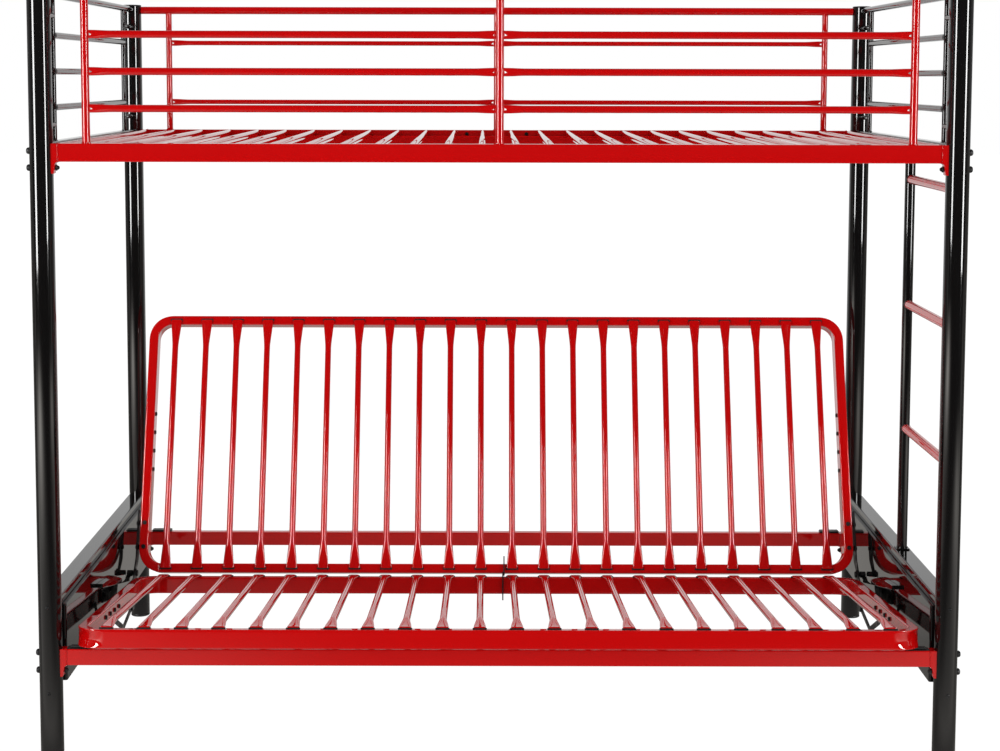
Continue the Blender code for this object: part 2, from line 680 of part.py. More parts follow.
# Glides on the lower rails
def make_glides(holder):
    half_rail = RAIL_DEPTH / 2
    pad_low = LOWER_RAIL_TOP + GAP
    for side, sign in SIDES:
        edges = sorted((sign * GLIDE_INNER, sign * PAD_OUTER))
        pad = block(
            "glide_saddle_" + side, (edges[0], POST_FRONT_Y - half_rail, pad_low),
            (edges[1], POST_FRONT_Y + half_rail, RIDGE_CENTRE), black_plastic,
        )
        ridge = []
        for i in range(HINGE_SIDES // 2 + 1):
            turn = math.pi * i / (HINGE_SIDES // 2)
            height = max(RIDGE_RADIUS * math.sin(turn), -SADDLE_PAD_THICKNESS / 2)
            ridge.append((POST_FRONT_Y + RIDGE_RADIUS * math.cos(turn), RIDGE_CENTRE + height))
        foot = RIDGE_CENTRE - SADDLE_PAD_THICKNESS / 2
        ridge = [(ridge[0][0], foot), *ridge, (ridge[-1][0], foot)]
        span = sorted((sign * (GLIDE_INNER + GAP), sign * GLIDE_OUTER))
        weld(pad, [sheet("ridge_guide", ridge, *span)])
        make_shoe(side, sign, holder)
        edges = sorted((sign * GLIDE_INNER, sign * PAD_OUTER))
        rear_top = RIDGE_CENTRE + SHOE_RISE + GAP - REAR_GLIDE_CLEARANCE
        block(
            "rear_glide_" + side, (edges[0], POST_BACK_Y - half_rail, pad_low),
            (edges[1], POST_BACK_Y + half_rail, rear_top), black_plastic,
        )


def make_shoe(side, sign, holder):
    """A flat-topped shoe with a half-round groove over the saddle's ridge. It rocks about the ridge."""
    groove = RIDGE_RADIUS + GAP
    half = SHOE_LENGTH / 2
    floor = SHOE_WALL
    outline = [(-half, SHOE_RISE), (-half, floor)]
    start = math.asin(floor / groove)
    for i in range(HINGE_SIDES // 2 + 1):
        turn = math.pi - start - (math.pi - 2 * start) * i / (HINGE_SIDES // 2)
        reach = groove / math.cos(math.pi / HINGE_SIDES)
        outline.append((reach * math.cos(turn), max(reach * math.sin(turn), floor)))
    outline += [(half, floor), (half, SHOE_RISE)]
    span = sorted((sign * (GLIDE_INNER + GAP), sign * GLIDE_OUTER))
    sheet("glide_shoe_" + side, outline, *span, black_plastic, holder)


# Futon decks
def frame_stations(y_low, y_high):
    """Points round the middle of the frame tube, with their outward direction and share of bend."""
    half = DECK_HALF_WIDTH - DECK_TUBE_WIDTH / 2
    inset = DECK_TUBE_WIDTH / 2
    bend = DECK_CORNER_RADIUS - inset
    corners = (
        (half - bend, y_high - inset - bend, 0), (-half + bend, y_high - inset - bend, 1),
        (-half + bend, y_low + inset + bend, 2), (half - bend, y_low + inset + bend, 3),
    )
    stations = []
    for x, y, quarter in corners:
        for i in range(DECK_CORNER_STEPS + 1):
            share = i / DECK_CORNER_STEPS
            turn = (quarter + share) * math.pi / 2
            outward = Vector((math.cos(turn), math.sin(turn), 0))
            stations.append((Vector((x, y, 0)) + outward * bend, outward, math.sin(math.pi * share)))
    return stations


def make_deck(name, y_low, y_high, hole_start, direction, holder):
    half = DECK_TUBE_WIDTH / 2
    c = DECK_TUBE_CHAMFER
    middle = (DECK_TOP + DECK_BOTTOM) / 2
    rings = []
    for centre, outward, bend in frame_stations(y_low, y_high):
        dent = DECK_CORNER_DENT * bend
        section = (
            (-half, DECK_BOTTOM + c), (-half, DECK_TOP - c), (c - half, DECK_TOP), (half - c, DECK_TOP),
            (half, DECK_TOP - c), (half - dent, middle),
            (half, DECK_BOTTOM + c), (half - c, DECK_BOTTOM),
            (c - half, DECK_BOTTOM),
        )
        rings.append([centre + outward * across + Vector((0, 0, z)) for across, z in section])
    deck = loft(name, rings, red_powder_coat, holder, closed=True)
    weld(deck, make_slats(y_low, y_high, holder))
    cut(deck, adjustment_holes(hole_start, direction, holder))


def make_slats(y_low, y_high, holder):
    lift = SLAT_HEAD_LIFT - SLAT_RISE
    stations = [
        (0, SLAT_HEAD_HALF_WIDTH, SLAT_HEAD_HALF_HEIGHT, lift),
        (SLAT_HEAD_LENGTH, SLAT_HEAD_HALF_WIDTH, SLAT_HEAD_HALF_HEIGHT, lift),
        (SLAT_HEAD_LENGTH + SLAT_TAPER_LENGTH, SLAT_RADIUS, SLAT_RADIUS, 0),
    ]
    axis_z = DECK_TOP + SLAT_RISE
    inset = DECK_TUBE_WIDTH / 2
    slats = []
    for i in range(SLAT_COUNT):
        x = (i - (SLAT_COUNT - 1) / 2) * SLAT_PITCH
        start, end = (x, y_low + inset, axis_z), (x, y_high - inset, axis_z)
        slats.append(pressed_bar("slat_guide", start, end, (-1, 0, 0), stations, SLAT_SIDES, holder))
    return slats


def adjustment_holes(start, direction, holder):
    holes = []
    inner = DECK_HALF_WIDTH - DECK_TUBE_WIDTH
    for sign in (-1, 1):
        span = sorted((sign * (inner - OVERRUN), sign * (inner + ADJUST_HOLE_DEPTH)))
        for i in range(ADJUST_HOLE_COUNT):
            y = direction * (start + i * ADJUST_HOLE_PITCH)
            z = DECK_TOP - ADJUST_HOLE_DROP
            holes.append(cross_hole(y, z, ADJUST_HOLE_RADIUS, *span, SLAT_SIDES, holder))
    return holes


# Hinge hardware. Outlines are (y, z) from the fold line, in the deck's own plane
def eye_arc(radius, first, last, steps):
    """Part of a circle round the fold line, from one angle to another in degrees."""
    arc = []
    for i in range(steps + 1):
        turn = math.radians(first + (last - first) * i / steps)
        arc.append((radius * math.cos(turn), radius * math.sin(turn)))
    return arc


def scaled(shares):
    return [(y * DECK_TUBE_HEIGHT, z * DECK_TUBE_HEIGHT) for y, z in shares]


def strap_outline(path, half):
    """The outline of a flat strap of even width that follows a path of (y, z) points."""
    points = [Vector(point) for point in path]
    one_side, other_side = [], []
    for i, point in enumerate(points):
        back = (point - points[i - 1]).normalized() if i else None
        ahead = (points[i + 1] - point).normalized() if i + 1 < len(points) else None
        along = (back + ahead).normalized() if back and ahead else (back or ahead)
        normal = Vector((-along.y, along.x))
        reach = half / normal.dot(Vector((-(ahead or back).y, (ahead or back).x)))
        tip = (ahead * -half if not back else back * half if not ahead else Vector((0, 0)))
        one_side.append(point + normal * reach + tip)
        other_side.append(point - normal * reach + tip)
    return [tuple(point) for point in one_side + other_side[::-1]]


def make_bracket(name, sign, standoff, outline, bosses, holder):
    """A plate outside one side rail, held off it by round bosses."""
    near = DECK_HALF_WIDTH + standoff
    span = sorted((sign * near, sign * (near + BRACKET_THICKNESS)))
    plate = sheet(name, outline, *span, blackened_steel, holder)
    boss_span = sorted((sign * (DECK_HALF_WIDTH + GAP), sign * (near + BRACKET_THICKNESS / 2)))
    weld(plate, [cross_hole(y, z, BOSS_RADIUS, *boss_span, BOLT_SIDES, holder) for y, z in bosses])
    return plate


def make_pin_hole(plate, sign, standoff, holder):
    near = DECK_HALF_WIDTH + standoff
    span = sorted((sign * (near - OVERRUN / 2), sign * (near + BRACKET_THICKNESS + OVERRUN)))
    cut(plate, [cross_hole(0, 0, PIN_HOLE_RADIUS, *span, HINGE_SIDES, holder)])


def make_hinge_plates(seat_holder, back_holder):
    """Each side has a bracket on the seat. Its brace and the back's strap share the next layer."""
    inner_layer = BRACKET_STANDOFF + GAP
    outer_layer = inner_layer + BRACKET_THICKNESS + GAP
    rail_middle = (DECK_TOP + DECK_BOTTOM) / 2
    seat_bosses = [(share * DECK_TUBE_HEIGHT, rail_middle) for share in SEAT_BOSS_SHARES]
    back_bosses = [(BACK_BOSS_NEAR, rail_middle), (BACK_BOSS_NEAR + BACK_BOSS_PITCH, rail_middle)]
    seat_outline = eye_arc(EYE_RADIUS, -20, 160, 6) + scaled(SEAT_BRACKET_SHARES)
    back_outline = eye_arc(EYE_RADIUS, 200, 20, 6) + scaled(BACK_BRACKET_SHARES)
    brace_path = scaled(BRACE_PATH_SHARES)
    brace_outline = strap_outline(brace_path, BOSS_RADIUS)
    for side, sign in SIDES:
        plate = make_bracket(
            "seat_hinge_bracket_" + side, sign, inner_layer, seat_outline, seat_bosses, seat_holder,
        )
        make_pin_hole(plate, sign, inner_layer, seat_holder)
        make_bracket(
            "seat_brace_" + side, sign, outer_layer, brace_outline, brace_path[-1:], seat_holder,
        )
        plate = make_bracket(
            "back_hinge_bracket_" + side, sign, outer_layer, back_outline, back_bosses, back_holder,
        )
        make_pin_hole(plate, sign, outer_layer, back_holder)


def make_pins_and_rollers(holder):
    head = DECK_HALF_WIDTH + BRACKET_STANDOFF
    tip = PLATE_FACE - 2 * GAP
    roller_out = PLATE_FACE - ROLLER_INSET
    for side, sign in SIDES:
        profile = [
            (0, head - PIN_HEAD_THICKNESS), (PIN_HEAD_RADIUS, head - PIN_HEAD_THICKNESS),
            (PIN_HEAD_RADIUS, head),
            (PIN_RADIUS, head), (PIN_RADIUS, tip), (0, tip),
        ]
        flipped = [(radius, sign * along) for radius, along in profile]
        turned("hinge_pin_" + side, flipped, HINGE_SIDES, blackened_steel, holder, axis="X")
        low, high = roller_out - ROLLER_WIDTH, roller_out
        ring = [
            (ROLLER_RADIUS, low), (ROLLER_RADIUS, high),
            (PIN_HOLE_RADIUS, high), (PIN_HOLE_RADIUS, low),
        ]
        flipped = [(radius, sign * along) for radius, along in ring]
        turned(
            "hinge_roller_" + side, flipped, ROLLER_SIDES, black_plastic, holder, axis="X", closed=True,
        )


def make_centre_lugs(seat_holder, back_holder):
    """A pair of thin lugs at the middle of the fold line, one hooked over each deck's tube."""
    face = DECK_TOP + GAP
    inner = -HINGE_SETBACK - DECK_TUBE_WIDTH - GAP
    crown = LUG_EYE_RADIUS
    seat_outline = eye_arc(LUG_EYE_RADIUS, -60, 90, 4) + [
        (inner - LUG_ARM, crown), (inner - LUG_ARM, DECK_BOTTOM - LUG_TAIL),
        (inner, DECK_BOTTOM - LUG_TAIL), (inner, face),
        (-HINGE_SETBACK, face),
    ]
    middle = LUG_CENTRE
    stud_end = middle + GAP + LUG_THICKNESS + GAP
    layer = (middle - LUG_THICKNESS, middle)
    lug = sheet("centre_hinge_seat_lug", seat_outline, *layer, blackened_steel, seat_holder)
    stud_start = middle - LUG_THICKNESS / 2
    stud = cross_hole(0, 0, LUG_STUD_RADIUS, stud_start, stud_end, HINGE_SIDES, seat_holder)
    weld(lug, [stud])
    back_outline = eye_arc(LUG_EYE_RADIUS, 240, 90, 4)
    back_outline += [(BACK_LUG_REACH, crown), (BACK_LUG_REACH, face), (HINGE_SETBACK, face)]
    low = middle + GAP
    layer = (low, low + LUG_THICKNESS)
    lug = sheet("centre_hinge_back_lug", back_outline, *layer, blackened_steel, back_holder)
    reach = (low - OVERRUN, low + 2 * OVERRUN)
    cut(lug, [cross_hole(0, 0, LUG_HOLE_RADIUS, *reach, HINGE_SIDES, back_holder)])


def make_futon():
    fold = hinge_place(0)
    place = (0, fold.x, fold.y)
    glide_holder = empty("glide_axis", GLIDE_ORIGIN, -SEAT_TILT)
    seat_holder = empty("seat_on_fold_line", place, -SEAT_TILT)
    back_holder = empty("back_on_fold_line", place, math.pi / 2 - BACK_LEAN)
    make_glides(glide_holder)
    make_deck("seat_deck", -HINGE_SETBACK - SEAT_LENGTH, -HINGE_SETBACK, SEAT_HOLE_START, -1, seat_holder)
    make_deck("back_deck", HINGE_SETBACK, HINGE_SETBACK + BACK_LENGTH, BACK_HOLE_START, 1, back_holder)
    make_hinge_plates(seat_holder, back_holder)
    make_pins_and_rollers(seat_holder)
    make_centre_lugs(seat_holder, back_holder)


def main():
    for item in list(bpy.data.objects):
        bpy.data.objects.remove(item, do_unlink=True)
    make_posts()
    make_rails()
    make_upper_slats()
    make_guards()
    for side, sign in SIDES:
        make_end_panel(side, sign)
        make_lower_end(side, sign)
    make_ladder()
    make_futon()


main()
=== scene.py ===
import math
from functools import partial

import bpy
import numpy as np
from mathutils import Matrix, Vector


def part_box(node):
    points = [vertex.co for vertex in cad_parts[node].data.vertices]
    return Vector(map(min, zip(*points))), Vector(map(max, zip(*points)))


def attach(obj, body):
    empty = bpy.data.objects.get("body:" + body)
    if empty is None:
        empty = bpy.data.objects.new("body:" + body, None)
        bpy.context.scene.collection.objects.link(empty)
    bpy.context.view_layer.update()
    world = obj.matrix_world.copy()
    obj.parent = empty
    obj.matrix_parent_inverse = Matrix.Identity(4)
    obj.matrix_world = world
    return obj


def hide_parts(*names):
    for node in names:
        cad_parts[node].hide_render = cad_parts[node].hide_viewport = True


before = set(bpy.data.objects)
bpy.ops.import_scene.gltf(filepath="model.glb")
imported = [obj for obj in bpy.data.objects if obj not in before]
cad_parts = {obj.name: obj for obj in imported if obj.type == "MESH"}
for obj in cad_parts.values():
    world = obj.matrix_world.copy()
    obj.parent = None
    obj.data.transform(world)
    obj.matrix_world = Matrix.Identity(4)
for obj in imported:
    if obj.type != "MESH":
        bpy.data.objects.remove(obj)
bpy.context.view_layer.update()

print("futon bunk bed: frame loaded")


def middle(name):
    return np.mean(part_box(name), axis=0)


# Places and distances that many pieces share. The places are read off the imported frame.
postX, frontY = middle("post_front_right")[:2]
backY = middle("post_back_right")[1]
foldLine = middle("hinge_pin_left")[1:]
seatTilt, backLean = math.radians(-6.67), math.radians(70.5)
sides = (("Left", "_left", -1), ("Right", "_right", 1))
ends = (("Front", frontY, 1), ("Back", backY, -1))  # the sign points into the bed
alongX, alongY, alongZ = np.eye(3)
gap = 0.0003  # between parts that only touch
postRadius, postSeat = 0.0254, 0.0257  # what butts against a post ends at its seat
buttFront, buttBack = frontY + postSeat, backY - postSeat
weldOut, smallBead = 0.0002, 0.0009
barHeights = (1.428, 1.5077, 1.5873)
creaseAngle = math.radians(32)


# A patch is (points, quads, caps). Rings of points are joined by quads, and each open end gets one flat cap.
# The sign of the enclosed volume says which way round the faces go, so that they look outwards.
def skin(rings, closed=False):
    rings = np.asarray(rings, float)
    count, around = rings.shape[:2]
    index = np.arange(count * around).reshape(count, around)
    rows = np.vstack([index, index[:1]]) if closed else index
    ahead = np.roll(rows, -1, axis=1)
    quads = np.stack([rows[:-1], ahead[:-1], ahead[1:], rows[1:]], axis=-1).reshape(-1, 4)
    caps = [] if closed else [index[0, ::-1], index[-1]]
    points = rings.reshape(-1, 3)
    fans = [np.stack([np.full(around - 2, cap[0]), cap[1:-1], cap[2:]], axis=-1) for cap in caps]
    triangles = np.vstack([quads[:, [0, 1, 2]], quads[:, [0, 2, 3]], *fans])
    a, b, c = (points - points.mean(0))[triangles.T]
    if np.einsum("ij,ij->i", a, np.cross(b, c)).sum() < 0:
        quads, caps = quads[:, ::-1], [cap[::-1] for cap in caps]
    return points, quads, caps


def mirrored(patch):
    points, quads, caps = patch
    return points * (-1, 1, 1), quads[:, ::-1], [cap[::-1] for cap in caps]


# Patches are made for the right-hand side, and mirrored for the left
def sided(patches, sign):
    return patches if sign > 0 else [mirrored(patch) for patch in patches]


# Turns patches about an axis along X, by y' = y cos - z sin and z' = y sin + z cos, then sets them on a pivot
def tipped(patches, angle, pivot=foldLine):
    cos, sin = math.cos(angle), math.sin(angle)
    turned = []
    for (x, y, z), quads, caps in ((patch[0].T, *patch[1:]) for patch in patches):
        turned.append((spots(x, y * cos - z * sin + pivot[0], y * sin + z * cos + pivot[1]), quads, caps))
    return turned


# Points from their coordinates, any of which may be one number for all
def spots(*axes):
    return np.stack(np.broadcast_arrays(*axes), axis=-1)


# Unit vectors along the last axis
def unit(vectors):
    return vectors / np.linalg.norm(vectors, axis=-1, keepdims=True)


# Points on an arc about the origin, between two angles in radians
def arc(radius, first, last, count):
    turn = np.linspace(first, last, count)
    return spots(radius * np.cos(turn), radius * np.sin(turn))


def turns(around):
    return np.linspace(0, 2 * np.pi, around, endpoint=False) + np.pi / around


# Superellipse: a = A |cos t|^(2/p), b = B |sin t|^(2/p), signs kept. Power 2 is an oval, more is squarer.
def ovalLoop(halfA, halfB, around=24, power=2.0):
    halfA, halfB, power = (np.atleast_1d(value)[:, None] for value in (halfA, halfB, power))
    cos, sin = np.cos(turns(around)), np.sin(turns(around))
    a = halfA * np.sign(cos) * np.abs(cos) ** (2 / power)
    b = halfB * np.sign(sin) * np.abs(sin) ** (2 / power)
    return spots(a, b)


# Rounds each corner of an outline by a parabola between the two points at its radius from the corner.
# One more point just outside each end of the bend keeps the straight sides flat when shaded smooth.
def rounded(corners, radii, steps=5):
    corners = np.asarray(corners, float)
    radii = np.broadcast_to(np.asarray(radii, float), len(corners))[:, None]
    back, ahead = (unit(np.roll(corners, way, axis=0) - corners) for way in (1, -1))
    share = np.linspace(0, 1, steps + 1)[None, :, None]
    start, stop = corners + back * radii, corners + ahead * radii
    bends = (1 - share) ** 2 * start[:, None] + 2 * share * (1 - share) * corners[:, None]
    bends = bends + share**2 * stop[:, None]
    before, after = (start + back * radii / 3)[:, None], (stop + ahead * radii / 3)[:, None]
    return np.concatenate([before, bends, after], axis=1).reshape(-1, 2)


def boxLoop(halfA, halfB, fillet, steps=5):
    return rounded([(halfA, halfB), (-halfA, halfB), (-halfA, -halfB), (halfA, -halfB)], fillet, steps)


# Every point is centre + a * across + b * up, with (a, b) running round the loop at each centre
def sweep(centres, loop, across=alongX, up=alongZ, closed=False):
    centres = np.asarray(centres, float)
    across, up = (np.broadcast_to(vectors, centres.shape) for vectors in (across, up))
    loop = np.broadcast_to(loop, (len(centres), *loop.shape[-2:]))
    return skin(centres[:, None] + loop[..., :1] * across[:, None] + loop[..., 1:] * up[:, None], closed)


# A round bar between two points, its two rims eased by a small bevel
def rod(start, end, radius, around=28, edge=0.0006):
    start, end = np.array([start, end], float)
    along = unit(end - start)
    across = unit(np.cross(alongZ if abs(along[2]) < 0.9 else alongY, along))
    centres = [start, start + along * edge, end - along * edge, end]
    radii = [radius - edge, radius, radius, radius - edge]
    return sweep(centres, ovalLoop(radii, radii, around), across, unit(np.cross(along, across)))


# A profile of (radius, height) spun about an axis through the base: 0 is X, 1 is Y, 2 is Z
def spun(profile, base, axis=2, around=36, closed=False, direction=1):
    radius, height = np.asarray(profile, float).T[:, :, None]
    rings = spots(radius * np.cos(turns(around)), radius * np.sin(turns(around)))
    rise = np.broadcast_to(direction * height, rings.shape[:2])
    return skin(np.insert(rings, axis, rise, axis=-1) + np.asarray(base, float), closed)


# The sum of the two unit normals at each corner, over 1 + their product, moves it along its mitre
def mitred(before, after, least=0.0):
    normalA, normalB = (unit(side)[:, ::-1] * (-1, 1) for side in (before, after))
    return (normalA + normalB) / np.maximum(1 + (normalA * normalB).sum(1, keepdims=True), least)


# An outline pulled along an axis between two heights, with a small bevel round both faces
def prism(outline, axis, low, high, edge=0.0005):
    outline = np.asarray(outline, float)
    x, y = outline.T
    if (x * np.roll(y, -1) - y * np.roll(x, -1)).sum() < 0:
        outline = outline[::-1]
    low, high = sorted((low, high))
    before, after = outline - np.roll(outline, 1, axis=0), np.roll(outline, -1, axis=0) - outline
    small = outline + mitred(before, after, 0.4) * edge
    levels = ((small, low), (outline, low + edge), (outline, high - edge), (small, high))
    return skin(np.stack([np.insert(flat, axis, height, axis=1) for flat, height in levels]))


def slab(low, high, fillet=0.001, edge=0.0005, axis=0):
    a, b = [i for i in range(3) if i != axis]
    corners = [(low[a], low[b]), (high[a], low[b]), (high[a], high[b]), (low[a], high[b])]
    return prism(rounded(corners, fillet, 3), axis, low[axis], high[axis], edge)


# A rippled bead: a small circle carried round a closed path, its radius going up and down along it
def weldBead(path, radius, ripples, lean=0.25):
    path = np.asarray(path, float)
    along = unit(np.roll(path, -1, axis=0) - np.roll(path, 1, axis=0))
    out = path - path.mean(0)
    out = unit(out - along * (out * along).sum(1, keepdims=True))
    wave = radius * (1 + lean * np.sin(np.linspace(0, 2 * np.pi * ripples, len(path), endpoint=False)))
    return sweep(path, ovalLoop(wave, wave, 8), out, np.cross(along, out), closed=True)


def weldRing(centre, axis, radius, bead=0.0011):
    ring = np.insert(arc(radius, 0, 2 * np.pi, 73)[:-1], axis, 0, axis=1)
    return weldBead(ring + np.asarray(centre, float), bead, 18)


def evenly(count, pitch):
    return (np.arange(count) - (count - 1) / 2) * pitch


# Places along a bar, close together near both its ends, and how far each is from the nearer end
def closeAtEnds(steps, length):
    along = np.concatenate([steps, length - np.array(steps)[::-1]])
    return along, np.minimum(along, length - along)


def easeBetween(share):
    share = np.clip(share, 0, 1)
    return share * share * (3 - 2 * share)


def linked(name, data):
    item = bpy.data.objects.new(name, data)
    bpy.context.scene.collection.objects.link(item)
    return item


def solidOf(name, patches):
    starts = np.cumsum([0] + [len(patch[0]) for patch in patches[:-1]])
    points = np.vstack([patch[0] for patch in patches])
    quads = np.vstack([patch[1] + start for patch, start in zip(patches, starts)])
    caps = [(cap + start).tolist() for patch, start in zip(patches, starts) for cap in patch[2]]
    mesh = bpy.data.meshes.new(name)
    mesh.from_pydata(points.tolist(), [], quads.tolist() + caps)
    return linked(name, mesh)


def shadeSmooth(item):
    item.data.shade_smooth()
    item.data.set_sharp_from_angle(angle=creaseAngle)


def piece(name, patches, coat, nodes=(), body="bunk_frame"):
    item = solidOf(name, patches)
    item.data.materials.append(coat)
    shadeSmooth(item)
    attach(item, body)
    if nodes:
        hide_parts(*nodes)
    return item


# A piece's copy at one end of the bed, tipped on its pivot where an angle is given
def copyAt(side, name, patches, coat, label, body="bunk_frame", angle=0, pivot=foldLine):
    end, tail, sign = side
    patches = sided(patches, sign)
    piece(name + end, tipped(patches, angle, pivot) if angle else patches, coat, [label + tail], body)


# Takes cutters out of a piece and keeps the result as its mesh
def drilled(item, cutters):
    helper = solidOf(item.name + "Cutter", cutters)
    holes = item.modifiers.new("holes", "BOOLEAN")
    holes.operation, holes.solver, holes.object = "DIFFERENCE", "EXACT", helper
    whole = item.evaluated_get(bpy.context.evaluated_depsgraph_get())
    cut = bpy.data.meshes.new_from_object(whole)
    item.modifiers.clear()
    item.data = cut
    bpy.data.objects.remove(helper, do_unlink=True)
    shadeSmooth(item)


def node(tree, kind, values=(), **settings):
    made = tree.nodes.new(kind)
    for name, value in settings.items():
        setattr(made, name, value)
    for socket, value in dict(values).items():
        made.inputs[socket].default_value = value
    return made


# A number sets a socket, and anything else is linked to it
def feed(tree, socket, value):
    if isinstance(value, (int, float)):
        socket.default_value = value
    else:
        tree.links.new(value, socket)


def combine(tree, operation, one, two=0):
    step = node(tree, "ShaderNodeMath", operation=operation)
    for socket, value in zip(step.inputs, (one, two)):
        feed(tree, socket, value)
    return step.outputs[0]


def choose(tree, factor, one, two):
    mix = node(tree, "ShaderNodeMix", data_type="FLOAT")
    for socket, value in (("Factor", factor), ("A", one), ("B", two)):
        feed(tree, mix.inputs[socket], value)
    return mix.outputs["Result"]


def ramp(tree, value, low, high, outLow=0.0, outHigh=1.0, kind="SMOOTHSTEP"):
    made = node(tree, "ShaderNodeMapRange", interpolation_type=kind)
    names = ("Value", "From Min", "From Max", "To Min", "To Max")
    for socket, given in zip(names, (value, low, high, outLow, outHigh)):
        feed(tree, made.inputs[socket], given)
    return made.outputs["Result"]


def shaderGroup(name, inputs, outputs):
    tree = bpy.data.node_groups.new(name, "ShaderNodeTree")
    for labels, way in ((inputs, "INPUT"), (outputs, "OUTPUT")):
        for label in labels:
            tree.interface.new_socket(label, in_out=way, socket_type="NodeSocketFloat")
    return tree, tree.nodes.new("NodeGroupInput").outputs, tree.nodes.new("NodeGroupOutput").inputs


def noiseIn(tree, place, scale, detail, roughness=0.5):
    noise = node(tree, "ShaderNodeTexNoise", {"Detail": detail, "Roughness": roughness})
    feed(tree, noise.inputs["Scale"], scale)
    tree.links.new(place, noise.inputs["Vector"])
    return noise.outputs["Fac"]


noiseScales = dict(peel=420.0, haze=6.0, tone=2.3, rubbed=55.0)


# Powder coat as it cures: fine orange peel, slow waves of the metal under it, haze and small changes of tone
def sprayedFilm():
    inputs = ("Wave Scale", "Clear Roughness", "Hazy Roughness")
    tree, given, made = shaderGroup("sprayedFilm", inputs, ("Peel", "Wave", "Roughness", "Tone"))
    place = node(tree, "ShaderNodeTexCoord").outputs["Object"]
    join = tree.links.new
    join(noiseIn(tree, place, noiseScales["peel"], 1.0, 0.4), made["Peel"])
    join(noiseIn(tree, place, given["Wave Scale"], 1.0, 0.3), made["Wave"])
    haze = noiseIn(tree, place, noiseScales["haze"], 5.0, 0.6)
    spread = ramp(tree, haze, 0.35, 0.68, given["Clear Roughness"], given["Hazy Roughness"], "LINEAR")
    join(spread, made["Roughness"])
    join(noiseIn(tree, place, noiseScales["tone"], 2.0), made["Tone"])
    return tree


# Moulded plastic and blackened steel share a close grain with a few rubbed places
def closeGrain():
    inputs = ("Grain Scale", "Matt Roughness", "Rubbed Roughness")
    tree, given, made = shaderGroup("closeGrain", inputs, ("Grain", "Roughness", "Rubbed"))
    place = node(tree, "ShaderNodeTexCoord").outputs["Object"]
    join = tree.links.new
    grain = node(tree, "ShaderNodeTexVoronoi")
    join(place, grain.inputs["Vector"])
    join(given["Grain Scale"], grain.inputs["Scale"])
    rubbed = ramp(tree, noiseIn(tree, place, noiseScales["rubbed"], 3.0), 0.5, 0.66, kind="LINEAR")
    join(grain.outputs["Distance"], made["Grain"])
    join(choose(tree, rubbed, given["Matt Roughness"], given["Rubbed Roughness"]), made["Roughness"])
    join(rubbed, made["Rubbed"])
    return tree


# A material around one group: its mask mixes two tones, and its heights become bumps, each on top of the last
def coatOf(name, slot, group, mask, look):
    material = bpy.data.materials.new(name)
    slots[name] = slot
    material.use_nodes = True
    tree = material.node_tree
    join, shader = tree.links.new, tree.nodes["Principled BSDF"]
    film = node(tree, "ShaderNodeGroup", look["group"], node_tree=group)
    tones = node(tree, "ShaderNodeMix", data_type="RGBA")
    for socket, tone in zip((6, 7), look["tones"]):
        tones.inputs[socket].default_value = (*tone, 1)
    join(film.outputs[mask], tones.inputs["Factor"])
    join(tones.outputs[2], shader.inputs["Base Color"])
    join(film.outputs["Roughness"], shader.inputs["Roughness"])
    last = None
    for height, depth in look["bumps"].items():
        bump = node(tree, "ShaderNodeBump", {"Distance": depth})
        join(film.outputs[height], bump.inputs["Height"])
        if last is not None:
            join(last, bump.inputs["Normal"])
        last = bump.outputs["Normal"]
    join(last, shader.inputs["Normal"])
    for socket, value in look["shader"].items():
        shader.inputs[socket].default_value = value
    material.diffuse_color = (*look["tones"][0], 1)
    return material


slots, filmGroup, grainGroup = {}, sprayedFilm(), closeGrain()
redLook = {
    "tones": ((0.59, 0.002, 0.0024), (0.54, 0.0017, 0.0021)),
    "group": {"Wave Scale": 11.0, "Clear Roughness": 0.028, "Hazy Roughness": 0.045},
    "bumps": {"Wave": 0.00006, "Peel": 0.0000003},
    "shader": {"IOR": 1.45, "Coat Weight": 0.5, "Coat Roughness": 0.01},
}
blackLook = {
    "tones": ((0.005, 0.0045, 0.0046), (0.0042, 0.0037, 0.0038)),
    "group": {"Wave Scale": 9.0, "Clear Roughness": 0.045, "Hazy Roughness": 0.085},
    "bumps": {"Wave": 0.00004, "Peel": 0.0000004},
    "shader": {"IOR": 1.5, "Coat Weight": 0.2, "Coat Roughness": 0.03},
}
plateLook = {
    "tones": blackLook["tones"],
    "group": {"Wave Scale": 3.0, "Clear Roughness": 0.03, "Hazy Roughness": 0.05},
    "bumps": {"Wave": 0.003, "Peel": 0.0000004},
    "shader": {**blackLook["shader"], "Coat Weight": 0.0},
}
plasticLook = {
    "tones": ((0.007, 0.007, 0.0075), (0.014, 0.014, 0.015)),
    "group": {"Grain Scale": 900.0, "Matt Roughness": 0.5, "Rubbed Roughness": 0.36},
    "bumps": {"Grain": 0.00006},
    "shader": {"Metallic": 0.0},
}
steelLook = {
    "tones": ((0.01, 0.01, 0.011), (0.034, 0.033, 0.034)),
    "group": {"Grain Scale": 1400.0, "Matt Roughness": 0.55, "Rubbed Roughness": 0.34},
    "bumps": {"Grain": 0.00003},
    "shader": {"Metallic": 0.35},
}
redCoat = coatOf("redPowderCoat", "red_powder_coat", filmGroup, "Tone", redLook)
blackCoat = coatOf("blackPowderCoat", "black_powder_coat", filmGroup, "Tone", blackLook)
plateCoat = coatOf("blackPressedPlate", "black_powder_coat", filmGroup, "Tone", plateLook)
plastic = coatOf("blackPlastic", "black_plastic", grainGroup, "Rubbed", plasticLook)
steel = coatOf("blackenedSteel", "blackened_steel", grainGroup, "Rubbed", steelLook)
print("powder coats, plastic and steel ready")


